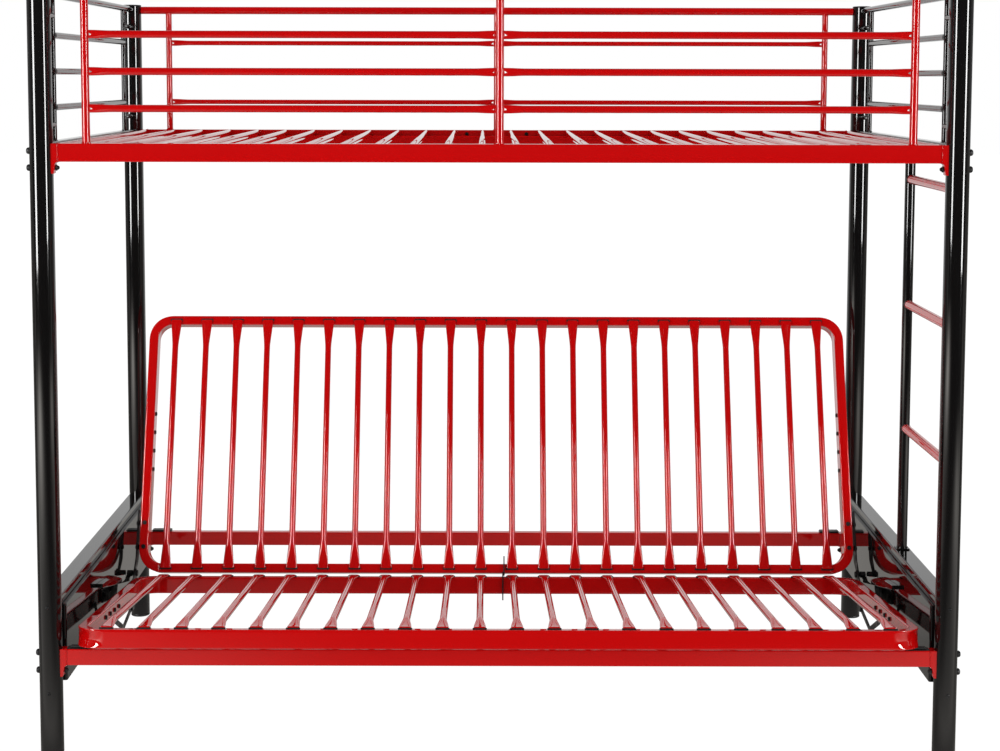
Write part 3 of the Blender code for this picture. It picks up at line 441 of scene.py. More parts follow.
# Profiles are (radius, height) pairs, here and below
postSizes = dict(
    wall=0.0015, low=0.0063, top=1.686, rim=0.0005, screwHeights=(0.334, 0.14), screwBite=0.0004,
    foot=[(0.02, 0), (0.0246, 0.0005), (0.0254, 0.0016), (0.0254, 0.005), (0.025, 0.006), (0.0236, 0.006),
          (0.0236, 0.027), (0.0226, 0.028)],
    cap=[(0.0226, 1.672), (0.0236, 1.673), (0.0236, 1.6863), (0.0252, 1.6863), (0.0254, 1.6868),
         (0.0254, 1.6876), (0.0249, 1.6886), (0.0232, 1.6893), (0.017, 1.6898), (0.008, 1.69), (0.003, 1.69)],
    screw=[(0.0042, -0.0015), (0.0042, 0.0008), (0.0034, 0.002), (0.002, 0.0024), (0.0018, 0.0014),
           (0.0008, 0.0014)],
)


def makePosts():
    s = postSizes
    inner, outer, top = postRadius - s["wall"], postRadius - s["rim"], s["top"]
    tube = [(outer, s["low"]), (postRadius, s["low"] + s["rim"]), (postRadius, top - s["rim"]), (outer, top),
            (inner, top), (inner, s["low"])]
    for end, y, way in ends:
        for side, tail, sign in sides:
            x, label, name = sign * postX, end.lower() + tail, end + side
            piece("post" + name, [spun(tube, (x, y, 0), around=80, closed=True)], blackCoat, ["post_" + label])
            piece("foot" + name, [spun(s["foot"], (x, y, 0), around=56)], plastic, ["post_foot_" + label])
            piece("cap" + name, [spun(s["cap"], (x, y, 0), around=56)], plastic, ["post_top_cap_" + label])
            places = [(x, y - way * (postRadius - s["screwBite"]), z) for z in s["screwHeights"]]
            piece("screws" + name, [spun(s["screw"], place, 1, 20, direction=-way) for place in places], steel)


makePosts()
print("posts, feet, caps and screws made")


railSizes = dict(
    half=0.011, fillet=0.0026, end=0.9543, saddleInner=0.9535, tabTop=0.9588, tabTip=0.9625, nutFace=0.9604,
    saddleHalf=0.012, edge=0.001, corner=[(0.0025, 0), (0.0008, 0.0006), (0, 0.0022)], leastWall=0.0004,
    tabDrop=0.026, shoulder=(0.003, 0.0004), weldIn=0.0002, weldBack=0.0004,
    ledgeReach=0.95, ledgeLow=1.3312, ledgeHigh=1.3337, ledgeWidth=0.02, ledgeBite=0.002, boltDrop=0.013,
)
rails = {
    "Upper": dict(top=1.353, height=0.04, boltRise=0.0235, ledge=True),
    "Lower": dict(top=0.237, height=0.037, boltRise=0.027, ledge=False),
}
boltSizes = dict(
    head=[(0.003, -0.004), (0.008, -0.0016), (0.008, 0.0), (0.0075, 0.0006), (0.0072, 0.003), (0.0064, 0.005),
          (0.0048, 0.0064), (0.002, 0.0071)],
    hexagon=[(0.0062, 0.0), (0.0066, -0.0006), (0.0066, -0.0038), (0.006, -0.0044)],
    dome=[(0.0046, -0.0036), (0.0046, -0.0056), (0.0038, -0.0076), (0.002, -0.0088), (0.0008, -0.009)],
    shank=0.003, shankEnd=0.024,
)


# In plan the saddle is a box whose outer side follows the post: x = postX - seat * cos t, y = seat * sin t.
# Below the rail it steps out to a narrow tab that tapers down towards the post.
def saddlePatch(y, low, high):
    s = railSizes
    half, edge, tip, inner = s["saddleHalf"], s["edge"], low - s["tabDrop"], s["saddleInner"]
    reach = math.asin(half / postSeat)
    follow, corner = arc(postSeat, -reach, reach, 15), np.array(s["corner"])
    levels = (
        (tip, s["tabTip"], edge), (tip + edge, s["tabTip"], 0), (low - s["shoulder"][0], s["tabTop"], 0),
        (low - s["shoulder"][1], inner, 0), (high - edge, inner, 0), (high, inner, edge),
    )
    rings = []
    for z, inside, trim in levels:
        x, span = inside + trim, half - trim
        wall = np.maximum(postX - follow[:, 0] - trim, x + s["leastWall"])
        box = np.vstack([corner * (1, -1) + (x, y + span), corner[::-1] + (x, y - span)])
        box[:, 0] = np.minimum(box[:, 0], postX - follow[0, 0] - trim)
        outline = np.vstack([spots(wall, y + follow[:, 1] * span / half), box])
        rings.append(np.insert(outline, 2, z, axis=1))
    return skin(np.stack(rings))


# One rail end's fastenings: a domed head outside the post at each height, and a nut on a shank at the first
def boltPatches(y, heights):
    s = boltSizes
    place = (railSizes["nutFace"], y, heights[0])
    heads = [spun(s["head"], (postX + postRadius, y, z), 0, 24) for z in heights]
    nut = [spun(s["hexagon"], place, 0, 6), spun(s["dome"], place, 0, 18)]
    return heads + nut + [rod(place, (postX + s["shankEnd"], y, heights[0]), s["shank"], 14)]


def makeRail(level, end, y, way):
    s, rail = railSizes, rails[level]
    name, label = level + end, f"{level}_{end}".lower()
    top, half = rail["top"], rail["height"] / 2
    low, centre = top - rail["height"], top - half
    path = [(-s["end"], y, centre), (s["end"], y, centre)]
    patches = [sweep(path, boxLoop(s["half"], half, s["fillet"]), alongY)]
    seam = boxLoop(s["half"] + gap, half - s["weldIn"], s["fillet"], 3)
    seam = np.vstack([np.linspace(a, b, 9)[:-1] for a, b in zip(seam, np.roll(seam, -1, axis=0))])
    seam = np.insert(seam + (y, centre), 0, s["saddleInner"] - s["weldBack"], axis=1)
    for sign in (-1, 1):
        patches += sided([saddlePatch(y, low, top - gap), weldBead(seam, 0.001, 46)], sign)
    if rail["ledge"]:
        near, far = sorted(y + way * (s["half"] + depth) for depth in (-s["ledgeBite"], s["ledgeWidth"]))
        reach = s["ledgeReach"]
        patches.append(slab((-reach, near, s["ledgeLow"]), (reach, far, s["ledgeHigh"]), 0.0009))
    piece("rail" + name, patches, redCoat, [label + "_rail"])
    heights = (low - s["boltDrop"], low + rail["boltRise"])
    for side in sides:
        copyAt(side, "bolts" + name, boltPatches(y, heights), steel, "rail_bolt_" + label)


for level in rails:
    for end in ends:
        makeRail(level, *end)
print("rails, saddles, welds and bolts made")


upperSlats = dict(
    count=26, pitch=0.0765, radius=0.008, height=1.345, start=frontY + 0.0126, stop=backY - 0.0126, tip=0.0045,
    blunt=0.55, tipShares=(0.02, 0.12, 0.3, 0.55, 0.8, 1.0),
    stripReach=0.964, stripWidth=0.018, stripBite=0.0002, stripLow=1.334, stripHigh=1.338,
    screw=[(0.0046, -0.0004), (0.005, 0.0004), (0.005, 0.0022), (0.004, 0.0032), (0.0014, 0.0036)],
    screwX=0.081, screwInset=0.011, screwHeight=1.3425,
)


# A slat's radius near each tip follows r * sqrt(1 - (1 - s)^2), s being the share of the rounded length
def makeUpperSlats():
    s = upperSlats
    share = np.array(s["tipShares"])
    fall = np.sqrt(1 - (1 - share) ** 2)
    y = np.concatenate([s["start"] + s["tip"] * share, s["stop"] - s["tip"] * share[::-1]])
    radius = s["radius"] * (s["blunt"] + (1 - s["blunt"]) * np.concatenate([fall, fall[::-1]]))
    loop = ovalLoop(radius, radius, 22)
    places = evenly(s["count"], s["pitch"])
    patches = [sweep(spots(x, y, s["height"]), loop) for x in places]
    reach, wide = s["stripReach"], s["stripWidth"]
    for near in (s["start"] - s["stripBite"], s["stop"] + s["stripBite"] - wide):
        patches.append(slab((-reach, near, s["stripLow"]), (reach, near + wide, s["stripHigh"]), 0.0012))
    piece("upperSlats", patches, redCoat, ["upper_slat_deck"])
    screws = []
    for x in (-s["screwX"], s["screwX"]):
        for _, y, way in ends:
            place = (x, y + way * s["screwInset"], s["screwHeight"])
            screws.append(spun(s["screw"], place, 1, 18, direction=way))
    piece("slatScrews", screws, steel)


makeUpperSlats()
print("upper slats made")


guards = {
    "frontGuard": dict(node="front_guard", y=frontY, top=1.676, topRadius=0.0115, offset=0.893,
                       uprightRadius=0.00875, barRadius=0.008, heights=barHeights, pressed=0.0092),
    "backGuard": dict(node="back_guard", y=backY, top=1.675, topRadius=0.01, offset=0.8905,
                      uprightRadius=0.008, barRadius=0.0063, heights=barHeights[::2], pressed=0.0078),
}
# How the bars are pressed flat at the uprights, and the small notch that is left open beside each upright
crimp = dict(
    halfDepth=0.004, length=0.012, taper=0.042, power=3.2, barInset=0.002,
    steps=(0, 0.006, 0.012, 0.016, 0.02, 0.024, 0.028, 0.032, 0.036, 0.041, 0.046, 0.05, 0.054, 0.06),
    notch=0.0056, notchTip=0.3, notchStep=0.0012, notchReach=0.02,
)
guardFoot, topWeldDrop = 1.3532, 0.0006


# A guard bar: its two half sizes and squareness ease from pressed flat at the uprights to round between them
def guardBar(start, stop, y, z, radius, pressed):
    c = crimp
    along, fromEnd = closeAtEnds(c["steps"], stop - start)
    ease = easeBetween((fromEnd - c["length"]) / c["taper"])
    halfHeight = pressed + (radius - pressed) * ease
    halfDepth = c["halfDepth"] + (radius - c["halfDepth"]) * ease
    loop = ovalLoop(halfDepth, halfHeight, 24, c["power"] + (2 - c["power"]) * ease)
    return sweep(spots(start + along, y, z), loop, alongY)


def makeGuards():
    half, wide, inset = crimp["notch"] / 2, crimp["notchReach"], crimp["barInset"]
    for name, g in guards.items():
        y, top, radius, reach = g["y"], g["top"], g["uprightRadius"], postX - postSeat
        frames = [rod((-reach, y, top), (reach, y, top), g["topRadius"], 32)]
        bars, cutters = [], []
        for x in (-g["offset"], 0, g["offset"]):
            topWeld = (x, y, top - g["topRadius"] + topWeldDrop)
            frames += [rod((x, y, guardFoot), (x, y, top), radius, 28),
                       weldRing((x, y, guardFoot + gap), 2, radius + weldOut),
                       weldRing(topWeld, 2, radius + weldOut / 2, smallBead)]
        for z in g["heights"]:
            for start, stop in ((-g["offset"], 0), (0, g["offset"])):
                bars.append(guardBar(start + inset, stop - inset, y, z, g["barRadius"], g["pressed"]))
                for end, way in ((start, 1), (stop, -1)):
                    near = end + way * (radius + crimp["notchStep"])
                    far = near + way * crimp["notch"]
                    triangle = [(near, z - half), (far, z - half * crimp["notchTip"]), (near, z + half)]
                    cutters.append(prism(triangle, 1, y - wide, y + wide, 0.0001))
        piece(name + "Frame", frames, redCoat, [g["node"]])
        drilled(piece(name + "Bars", bars, redCoat), cutters)


makeGuards()
print("guards made")


panelSizes = dict(
    top=1.677, topRadius=0.008, uprightRadius=0.00625, inset=0.12, barRadius=0.0075, spacerRadius=0.006,
    spacerHeights=(1.39, 1.63), railTop=1.354, railHeight=0.04,
    railHalf=0.0125, railFillet=0.003, uprightSink=0.002, washer=0.0018, washerLength=0.004,
)


def makeEndPanels():
    s = panelSizes
    centre, upright = s["railTop"] - s["railHeight"] / 2, s["uprightRadius"]
    loop = boxLoop(s["railHalf"], s["railHeight"] / 2, s["railFillet"])
    for side, tail, sign in sides:
        x = sign * postX
        patches = [sweep([(x, buttFront, centre), (x, buttBack, centre)], loop),
                   rod((x, buttFront, s["top"]), (x, buttBack, s["top"]), s["topRadius"], 30)]
        for z in barHeights:
            patches.append(rod((x, frontY + s["inset"], z), (x, backY - s["inset"], z), s["barRadius"], 26))
        for _, postY, way in ends:
            y, near = postY + way * s["inset"], postY + way * postSeat
            patches.append(rod((x, y, s["railTop"] - s["uprightSink"]), (x, y, s["top"]), upright, 26))
            patches.append(weldRing((x, y, s["railTop"] + gap), 2, upright + weldOut))
            for z in barHeights:
                place = (x, y + way * upright, z)
                patches.append(weldRing(place, 1, s["barRadius"] - weldOut, smallBead))
            for z in s["spacerHeights"]:
                patches.append(rod((x, near, z), (x, y, z), s["spacerRadius"], 22))
                washer = [(x, near + way * reach, z) for reach in (weldOut, s["washerLength"])]
                patches.append(rod(*washer, s["spacerRadius"] + s["washer"], 22))
        piece("endPanel" + side, patches, blackCoat, ["upper_end_panel" + tail])


makeEndPanels()
print("end panels made")


ladderSizes = dict(
    setback=0.43, radius=0.01225, low=0.3536, high=1.3137, rungRadius=0.011, heights=(1.255, 0.9525, 0.65),
    collar=0.0012, collarLength=0.006, plate=(0.016, 0.017), plateLow=0.3503, weldRise=0.0004,
    screw=[(0.0045, -0.001), (0.0045, 0.0016), (0.0036, 0.0028), (0.0014, 0.0032)],
)


def makeLadder():
    s = ladderSizes
    y, long = frontY + s["setback"], s["collarLength"]
    start, stop = buttFront, y - s["radius"] - gap
    rail = [rod((postX, y, s["low"]), (postX, y, s["high"]), s["radius"], 40)]
    piece("ladderRail", rail, blackCoat, ["ladder_rail"])
    collars = []
    for label, z in zip(("top", "middle", "bottom"), s["heights"]):
        tube = rod((postX, start, z), (postX, stop, z), s["rungRadius"], 36, 0.001)
        piece("rung" + label.title(), [tube], redCoat, ["ladder_rung_" + label])
        for near, far in ((start, start + long), (stop - long, stop)):
            collars.append(rod((postX, near, z), (postX, far, z), s["rungRadius"] + s["collar"], 32, 0.0008))
        collars.append(spun(s["screw"], (postX, y + s["radius"] - weldOut, z), 1, 18))
    piece("rungCollars", collars, plastic)
    across, along = s["plate"]
    corner = (postX + across, y + along, s["low"] - gap)
    plate = slab((postX - across, y - along, s["plateLow"]), corner, 0.004, 0.0006, 2)
    bead = weldRing((postX, y, s["low"] + s["weldRise"]), 2, s["radius"] + gap)
    piece("ladderPlate", [plate, bead], blackCoat, ["ladder_foot_plate"])


makeLadder()
print("ladder made")


endSizes = dict(
    beamTop=0.35, beamHeight=0.022, beamHalf=0.02, beamFillet=0.003, plateFace=0.961, skin=0.002,
    plateLow=0.154, plateTop=0.3277, lip=0.9975, lipInset=0.004, endLip=1.005, bend=0.0045, rim=0.0006,
    rollerDrop=0.0083, runOut=0.012, trackDepth=0.01, trackWidth=0.0145,
)
travel = dict(reach=0.6875, slide=0.3395, above=0.0529)


# The fold line's place for a share of the travel: along and above the glide, turned by the tilt that is left
def foldPlace(share):
    tilt = seatTilt * (1 - share)
    along, above = travel["reach"] - travel["slide"] * share, travel["above"]
    return spots(along * np.cos(tilt) - above * np.sin(tilt), along * np.sin(tilt) + above * np.cos(tilt))


# The track's crest runs below the fold line at the rollers' depth, and its underside is straight
def trackOutline():
    s = endSizes
    places = foldPlace(np.linspace(0, 1, 25))
    places = places - places[0] + foldLine
    uphill = unit(np.gradient(places, axis=0))
    crest = places + uphill[:, ::-1] * (-1, 1) * s["rollerDrop"]
    crest = np.vstack([crest[0] - uphill[0] * s["runOut"], crest, crest[-1] + uphill[-1] * s["runOut"]])
    return np.vstack([crest, crest[-1] - (0, s["trackDepth"]), crest[0] - (0, s["trackDepth"])])


def makeLowerEnds():
    s = endSizes
    face, wall, lip, rim, bend = s["plateFace"], s["skin"], s["endLip"], s["rim"], s["bend"]
    centre, inner, top = s["beamTop"] - s["beamHeight"] / 2, face + wall, s["plateTop"]
    near, far = buttFront + wall, buttBack - wall
    tray = [(lip, buttFront), (face, buttFront), (face, buttBack), (lip, buttBack), (lip, far), (inner, far),
            (inner, near), (lip, near)]
    tray = rounded(tray, [rim, bend, bend, rim, rim, bend / 2, bend / 2, rim])
    lipLow = (inner - rim, buttFront + s["lipInset"], top - wall)
    plate = [prism(tray, 2, s["plateLow"], top - gap, 0.0004),
             slab(lipLow, (s["lip"], buttBack - s["lipInset"], top), 0.0006)]
    track = [prism(trackOutline(), 0, face - gap - s["trackWidth"], face - gap, 0.0006)]
    path = [(postX, buttFront, centre), (postX, buttBack, centre)]
    beam = [sweep(path, boxLoop(s["beamHalf"], s["beamHeight"] / 2, s["beamFillet"]))]
    for side in sides:
        copyAt(side, "endBeam", beam, blackCoat, "lower_end_beam")
        copyAt(side, "sidePlate", plate, plateCoat, "side_plate")
        copyAt(side, "rollerTrack", track, blackCoat, "roller_track")


makeLowerEnds()
print("lower ends made")


glideSizes = dict(
    inner=0.9, padOuter=0.9528, padHalf=0.011, outer=0.945, low=0.2373, high=0.2383, ridge=0.003,
    ridgeFoot=0.0005, floor=0.0013, shoeHalf=0.008, shoeTop=0.0046, shoeStep=0.0006, rearTop=0.2428,
)


# A shoe rocks on a half-round ridge, which its groove clears by the gap
def makeGlides():
    s = glideSizes
    pivot = np.array([frontY, s["high"]])
    radius, foot = s["ridge"], -s["ridgeFoot"]
    ridge = np.vstack([arc(radius, 0, np.pi, 15), (-radius, foot), (radius, foot)])
    groove, floor, wide, top, step = radius + gap, s["floor"], s["shoeHalf"], s["shoeTop"], s["shoeStep"]
    start = math.asin(floor / groove)
    bow = arc(groove, np.pi - start, start, 13)
    bow[:, 1] = np.maximum(bow[:, 1], floor)
    shoe = np.vstack([(step - wide, top), (-wide, top - step), (-wide, floor), bow, (wide, floor),
                      (wide, top - step), (wide - step, top)])
    near, start, stop, inner = s["padHalf"], s["inner"], s["padOuter"], s["inner"] + gap
    saddle = [slab((start, frontY - near, s["low"]), (stop, frontY + near, s["high"]), 0.002, 0.0003, 2),
              prism(ridge + pivot, 0, inner, s["outer"], 0.0003)]
    rear = [slab((start, backY - near, s["low"]), (stop, backY + near, s["rearTop"]), 0.003, 0.0012, 2)]
    rocker = [prism(shoe, 0, inner, s["outer"], 0.0004)]
    for side in sides:
        copyAt(side, "glideSaddle", saddle, plastic, "glide_saddle")
        copyAt(side, "glideShoe", rocker, plastic, "glide_shoe", "front_glides", seatTilt, pivot)
        copyAt(side, "rearGlide", rear, plastic, "rear_glide")


makeGlides()
print("glides made")


deckSizes = dict(
    halfWidth=0.933, tube=0.024, top=-0.006, low=-0.048, fillet=0.0042, bend=0.063, slip=0.006,
    wallInset=0.0065, dent=0.0085, bulge=0.0015, flare=0.0022, slatCount=22, slatPitch=0.082,
    slatRadius=0.008, slatAxis=0.0005,
    slatSteps=(0, 0.0006, 0.0015, 0.005, 0.008, 0.013, 0.019, 0.025, 0.031, 0.037, 0.043, 0.05, 0.057,
               0.064, 0.07, 0.078),
    headWidth=0.0136, headThick=0.0024, headLevel=-0.0024, headLength=0.008, taper=0.066, straightShare=0.6,
    power=3.4, tip=0.0015, tipShare=0.86, clipHalf=0.0157, clipOut=0.0034, clipIn=0.003, clipLow=-0.007,
    clipHigh=-0.0028, plugLevel=-0.0225, plugPitch=0.049, plugCount=4,
    plug=[(0.0053, 0.002), (0.0053, -0.0024), (0.0046, -0.0036), (0.0033, -0.004)],
)
decks = {
    "seat": dict(node="seat_deck", low=-0.7325, high=-0.002, angle=seatTilt, plugs=-0.352, way=-1),
    "back": dict(node="back_deck", low=0.002, high=0.684, angle=backLean, plugs=0.2725, way=1),
}


# The frame tube's path is four straight runs and four quarter turns. In a turn its outer wall is pressed in
# by dent * sin(pi * share) * cos(pi * b / height), and its rims stand out by
# flare * sin(pi * share) * |2 b / height|^6, with share along the turn and b up the wall.
def frameTube(low, high):
    s = deckSizes
    inset, half, count = s["tube"] / 2, (s["top"] - s["low"]) / 2, 15
    bend = s["bend"] - inset
    reach, share = s["halfWidth"] - inset - bend, np.tile(np.r_[0, np.linspace(0, 1, count), 1], 4)
    slip = np.tile(np.r_[-s["slip"], np.zeros(count), s["slip"]], 4)[:, None]
    turn = (np.repeat(range(4), count + 2) + share) * np.pi / 2
    out, ahead = spots(np.cos(turn), np.sin(turn), 0), spots(-np.sin(turn), np.cos(turn), 0)
    middleX = np.repeat([reach, -reach, -reach, reach], count + 2)
    middleY = np.repeat([high - inset - bend, low + inset + bend], 2 * (count + 2))
    centres = spots(middleX, middleY, (s["top"] + s["low"]) / 2) + out * bend + ahead * slip
    rows = np.linspace(s["wallInset"] - half, half - s["wallInset"], 9)
    loop = np.tile(np.vstack([boxLoop(inset, half, s["fillet"]), spots(inset, rows)]), (len(turn), 1, 1))
    across, up = loop[..., 0].copy(), loop[..., 1] / half
    swell = np.sin(np.pi * share)[:, None]
    pressed, rim = swell * np.cos(np.pi * up / 2), swell * np.abs(up) ** 6
    loop[..., 0] += (s["flare"] * rim - s["dent"] * pressed) * (across > inset * 0.6)
    loop[..., 0] += s["bulge"] * pressed * (across < -inset * 0.6)
    return sweep(centres, loop, out, closed=True)


# A deck slat: width, thickness, height and squareness ease from the pressed head to the round tube
def deckSlat(x, low, high):
    s = deckSizes
    radius, (along, fromEnd) = s["slatRadius"], closeAtEnds(s["slatSteps"], high - low)
    run = np.clip((fromEnd - s["headLength"]) / s["taper"], 0, 1)
    ease = s["straightShare"] * run + (1 - s["straightShare"]) * easeBetween(run)
    dome = np.sqrt(np.clip(1 - (1 - fromEnd / s["tip"]) ** 2, 0, 1))
    tip = np.where(fromEnd < s["tip"], s["tipShare"] + (1 - s["tipShare"]) * dome, 1)
    width, thick = ((s[head] + (radius - s[head]) * ease) * tip for head in ("headWidth", "headThick"))
    level = s["headLevel"] + (s["slatAxis"] - s["headLevel"]) * ease
    loop = ovalLoop(width, thick, 24, s["power"] + (2 - s["power"]) * ease)
    return sweep(spots(x, low + along, level), loop)


def makeDecks():
    s = deckSizes
    inset, out, back = s["tube"] / 2, s["clipOut"], s["clipIn"]
    places = evenly(s["slatCount"], s["slatPitch"])
    for name, deck in decks.items():
        body, low, high = deck["node"], deck["low"] + inset, deck["high"] - inset
        plugs, clips = [], []
        for i in range(s["plugCount"]):
            y = deck["plugs"] + deck["way"] * i * s["plugPitch"]
            plug = spun(s["plug"], (s["halfWidth"] - s["tube"], y, s["plugLevel"]), 0, 24)
            plugs += [plug, mirrored(plug)]
        for x in places:
            for y0, y1 in ((low - out, low + back), (high - back, high + out)):
                corners = (x - s["clipHalf"], y0, s["clipLow"]), (x + s["clipHalf"], y1, s["clipHigh"])
                clips.append(slab(*corners, 0.0012, 0.0008, 2))
        tube, slats = [frameTube(deck["low"], deck["high"])], [deckSlat(x, low, high) for x in places]
        piece(name + "FrameTube", tipped(tube, deck["angle"]), redCoat, [body], body)
        piece(name + "SidePlugs", tipped(plugs, deck["angle"]), plastic, body=body)
        piece(name + "Slats", tipped(slats, deck["angle"]), redCoat, body=body)
        piece(name + "SlatClips", tipped(clips, deck["angle"]), plastic, body=body)


makeDecks()
print("seat and back decks made")


# The plates' outlines are (along the deck, above it) in shares of one size. The fold line is at the origin.
hingeSizes = dict(
    half=0.933, seatLayer=(0.9353, 0.9383), backLayer=(0.9386, 0.9416), eye=0.012, boss=0.007, size=0.042,
    bossSink=0.001, railLevel=-0.027, seatBolts=(-0.1701, -0.0924), backBolts=(0.069, 0.131),
    seatShares=[(-0.95, -0.24), (-4.52, -0.29), (-4.52, -1.05), (-1.33, -1.34), (-1.05, -2.12), (-0.48, -2.12),
                (0.14, -0.8)],
    backShares=[(0.95, -0.24), (3.93, -0.3), (3.93, -1.0), (0.95, -1.05)],
    braceShares=[(-0.7, -1.9), (-3.33, -2.74), (-5.86, -1.81), (-6.55, -0.81)],
    hexHead=[(0.0056, -0.0004), (0.006, 0.0004), (0.006, 0.0032), (0.0052, 0.004), (0.002, 0.0042)],
    topHeadX=0.921, topHeadLevel=-0.0062,
    pin=[(0.003, 0.9306), (0.007, 0.931), (0.008, 0.932), (0.008, 0.935), (0.0047, 0.935), (0.0047, 0.959),
         (0.004, 0.9594)],
    roller=[(0.0074, 0.9445), (0.008, 0.9451), (0.008, 0.9579), (0.0074, 0.9585), (0.0054, 0.9585),
            (0.0054, 0.9445)],
)
lugSizes = dict(
    eye=0.0052, seatLayer=(0.0152, 0.0182), backLayer=(0.0185, 0.0215), rivet=0.0026, rivetEnds=(0.016, 0.0218),
    seat=[(-0.0363, 0.0052), (-0.0363, -0.062), (-0.0263, -0.062), (-0.0263, -0.0057), (-0.002, -0.0057)],
    back=[(0.045, 0.0052), (0.045, -0.0057), (0.002, -0.0057)],
)


# A plate's outline: an arc round its eye, from one angle in degrees to the other, and then its corners
def eyePlate(radius, first, last, corners):
    return np.vstack([arc(radius, math.radians(first), math.radians(last), 19), corners])


# A strap of even width along a path of points: each side is the path moved by half the width along its mitre
def strap(path, half):
    path = np.asarray(path, float)
    along = unit(np.diff(path, axis=0))
    mitre = mitred(np.vstack([along[:1], along]), np.vstack([along, along[-1:]])) * half
    path = path + np.vstack([-along[:1], np.zeros((len(path) - 2, 2)), along[-1:]]) * half
    radii = np.full(2 * len(path), half * 0.45)
    radii[[0, len(path) - 1, len(path), -1]] = half * 0.7
    return rounded(np.vstack([path + mitre, (path - mitre)[::-1]]), radii, 6)


# A boss between the deck's tube and a plate's outer face, and a hexagon head on that face
def bossAndHead(layer, place, headPlace=None):
    s = hingeSizes
    boss = rod((s["half"] + gap, *place), (layer[1] - s["bossSink"], *place), s["boss"], 24)
    return [boss, spun(s["hexHead"], (layer[1], *(headPlace or place)), 0, 6)]


def makeHinges():
    s, lug, size = hingeSizes, lugSizes, hingeSizes["size"]
    seatLayer, backLayer, brace = s["seatLayer"], s["backLayer"], np.array(s["braceShares"]) * size
    seatParts = [prism(eyePlate(s["eye"], -20, 160, np.array(s["seatShares"]) * size), 0, *seatLayer, 0.0004)]
    backParts = [prism(eyePlate(s["eye"], 200, 20, np.array(s["backShares"]) * size), 0, *backLayer, 0.0004)]
    for y in s["seatBolts"]:
        seatParts += bossAndHead(seatLayer, (y, s["railLevel"]))
    for y in s["backBolts"]:
        backParts += bossAndHead(backLayer, (y, s["railLevel"]))
        backParts.append(spun(s["hexHead"], (s["topHeadX"], y, s["topHeadLevel"]), 2, 6))
    braceParts = [prism(strap(brace, s["boss"]), 0, *backLayer, 0.0005)]
    braceParts += bossAndHead(backLayer, tuple(brace[-1]), tuple(brace[0]))
    pin, roller = [spun(s["pin"], (0, 0, 0), 0, 32)], [spun(s["roller"], (0, 0, 0), 0, 40, closed=True)]
    seatLug = prism(eyePlate(lug["eye"], -60, 90, lug["seat"]), 0, *lug["seatLayer"], 0.0004)
    rivet = rod(*((x, 0, 0) for x in lug["rivetEnds"]), lug["rivet"], 20)
    backLug = prism(eyePlate(lug["eye"], 240, 90, lug["back"]), 0, *lug["backLayer"], 0.0004)
    for side in sides:
        copyAt(side, "seatBracket", seatParts, steel, "seat_hinge_bracket", "seat_deck", seatTilt)
        copyAt(side, "seatBrace", braceParts, steel, "seat_brace", "seat_deck", seatTilt)
        copyAt(side, "backBracket", backParts, steel, "back_hinge_bracket", "back_deck", backLean)
        copyAt(side, "hingePin", pin, steel, "hinge_pin", "seat_deck", seatTilt)
        copyAt(side, "hingeRoller", roller, plastic, "hinge_roller", "seat_deck", seatTilt)
    piece("seatLug", tipped([seatLug, rivet], seatTilt), steel, ["centre_hinge_seat_lug"], "seat_deck")
    piece("backLug", tipped([backLug], backLean), steel, ["centre_hinge_back_lug"], "back_deck")


makeHinges()
print("hinges made")


# Ramps are (from, to, value at from, value at to)
studio = dict(
    floorHalf=30.0, floorGlow=0.94, floorShade=0.16, floorBounce=0.78, floorWarmth=(1.0, 0.96, 0.9, 1),
    backdropY=2.4, backdropHalf=2.1, backdropHeight=2.7, backdropGloss=0.8,
    ambient=0.74, ambientFront=0.14, ambientTop=0.05, roomBack=(-0.6, 0.3, 0.04, 0.24),
    roomTop=(0.1, 0.7, 1.0, 0.5),
)
# How the gloss sees the floor, as painted light and shade. A pool is a painted pool of light where a box lights
# it: (x, y), brightness, spread.
paintedFloorGloss = dict(
    base=0.03, peak=0.95, fall=1.3, nearest=0.5, frontAside=(0.3, 1.0, 0.25, 1.0),
    under=(0.2, 0.8, 0.24, 0.46), underAside=(1.3, 2.6, 1.0, 0.4), edge=(-0.75, -0.45),
    pools=(((-3.9, -3.0), 3.6, 2.6), ((3.0, -2.0), 1.5, 1.2)),
)


def planeOf(name, corners):
    mesh = bpy.data.meshes.new(name)
    mesh.from_pydata(corners, [], [(0, 1, 2, 3)])
    item = linked(name, mesh)
    material = bpy.data.materials.new(name)
    material.use_nodes = True
    material.node_tree.nodes.clear()
    mesh.materials.append(material)
    return item, material.node_tree


def splitAxes(tree, space):
    axes = node(tree, "ShaderNodeSeparateXYZ")
    tree.links.new(node(tree, "ShaderNodeTexCoord").outputs[space], axes.inputs[0])
    return (axes.outputs[name] for name in "XYZ")


def rayKinds(tree):
    rays = node(tree, "ShaderNodeLightPath").outputs
    return combine(tree, "MAXIMUM", rays["Is Camera Ray"], rays["Is Transmission Ray"]), rays["Is Glossy Ray"]


def glow(tree, strength):
    made = node(tree, "ShaderNodeEmission")
    feed(tree, made.inputs["Strength"], strength)
    return made


def mixShaders(tree, factor, one, two):
    mix = node(tree, "ShaderNodeMixShader")
    for socket, source in zip(mix.inputs, (factor, one, two)):
        tree.links.new(source, socket)
    return mix.outputs[0]
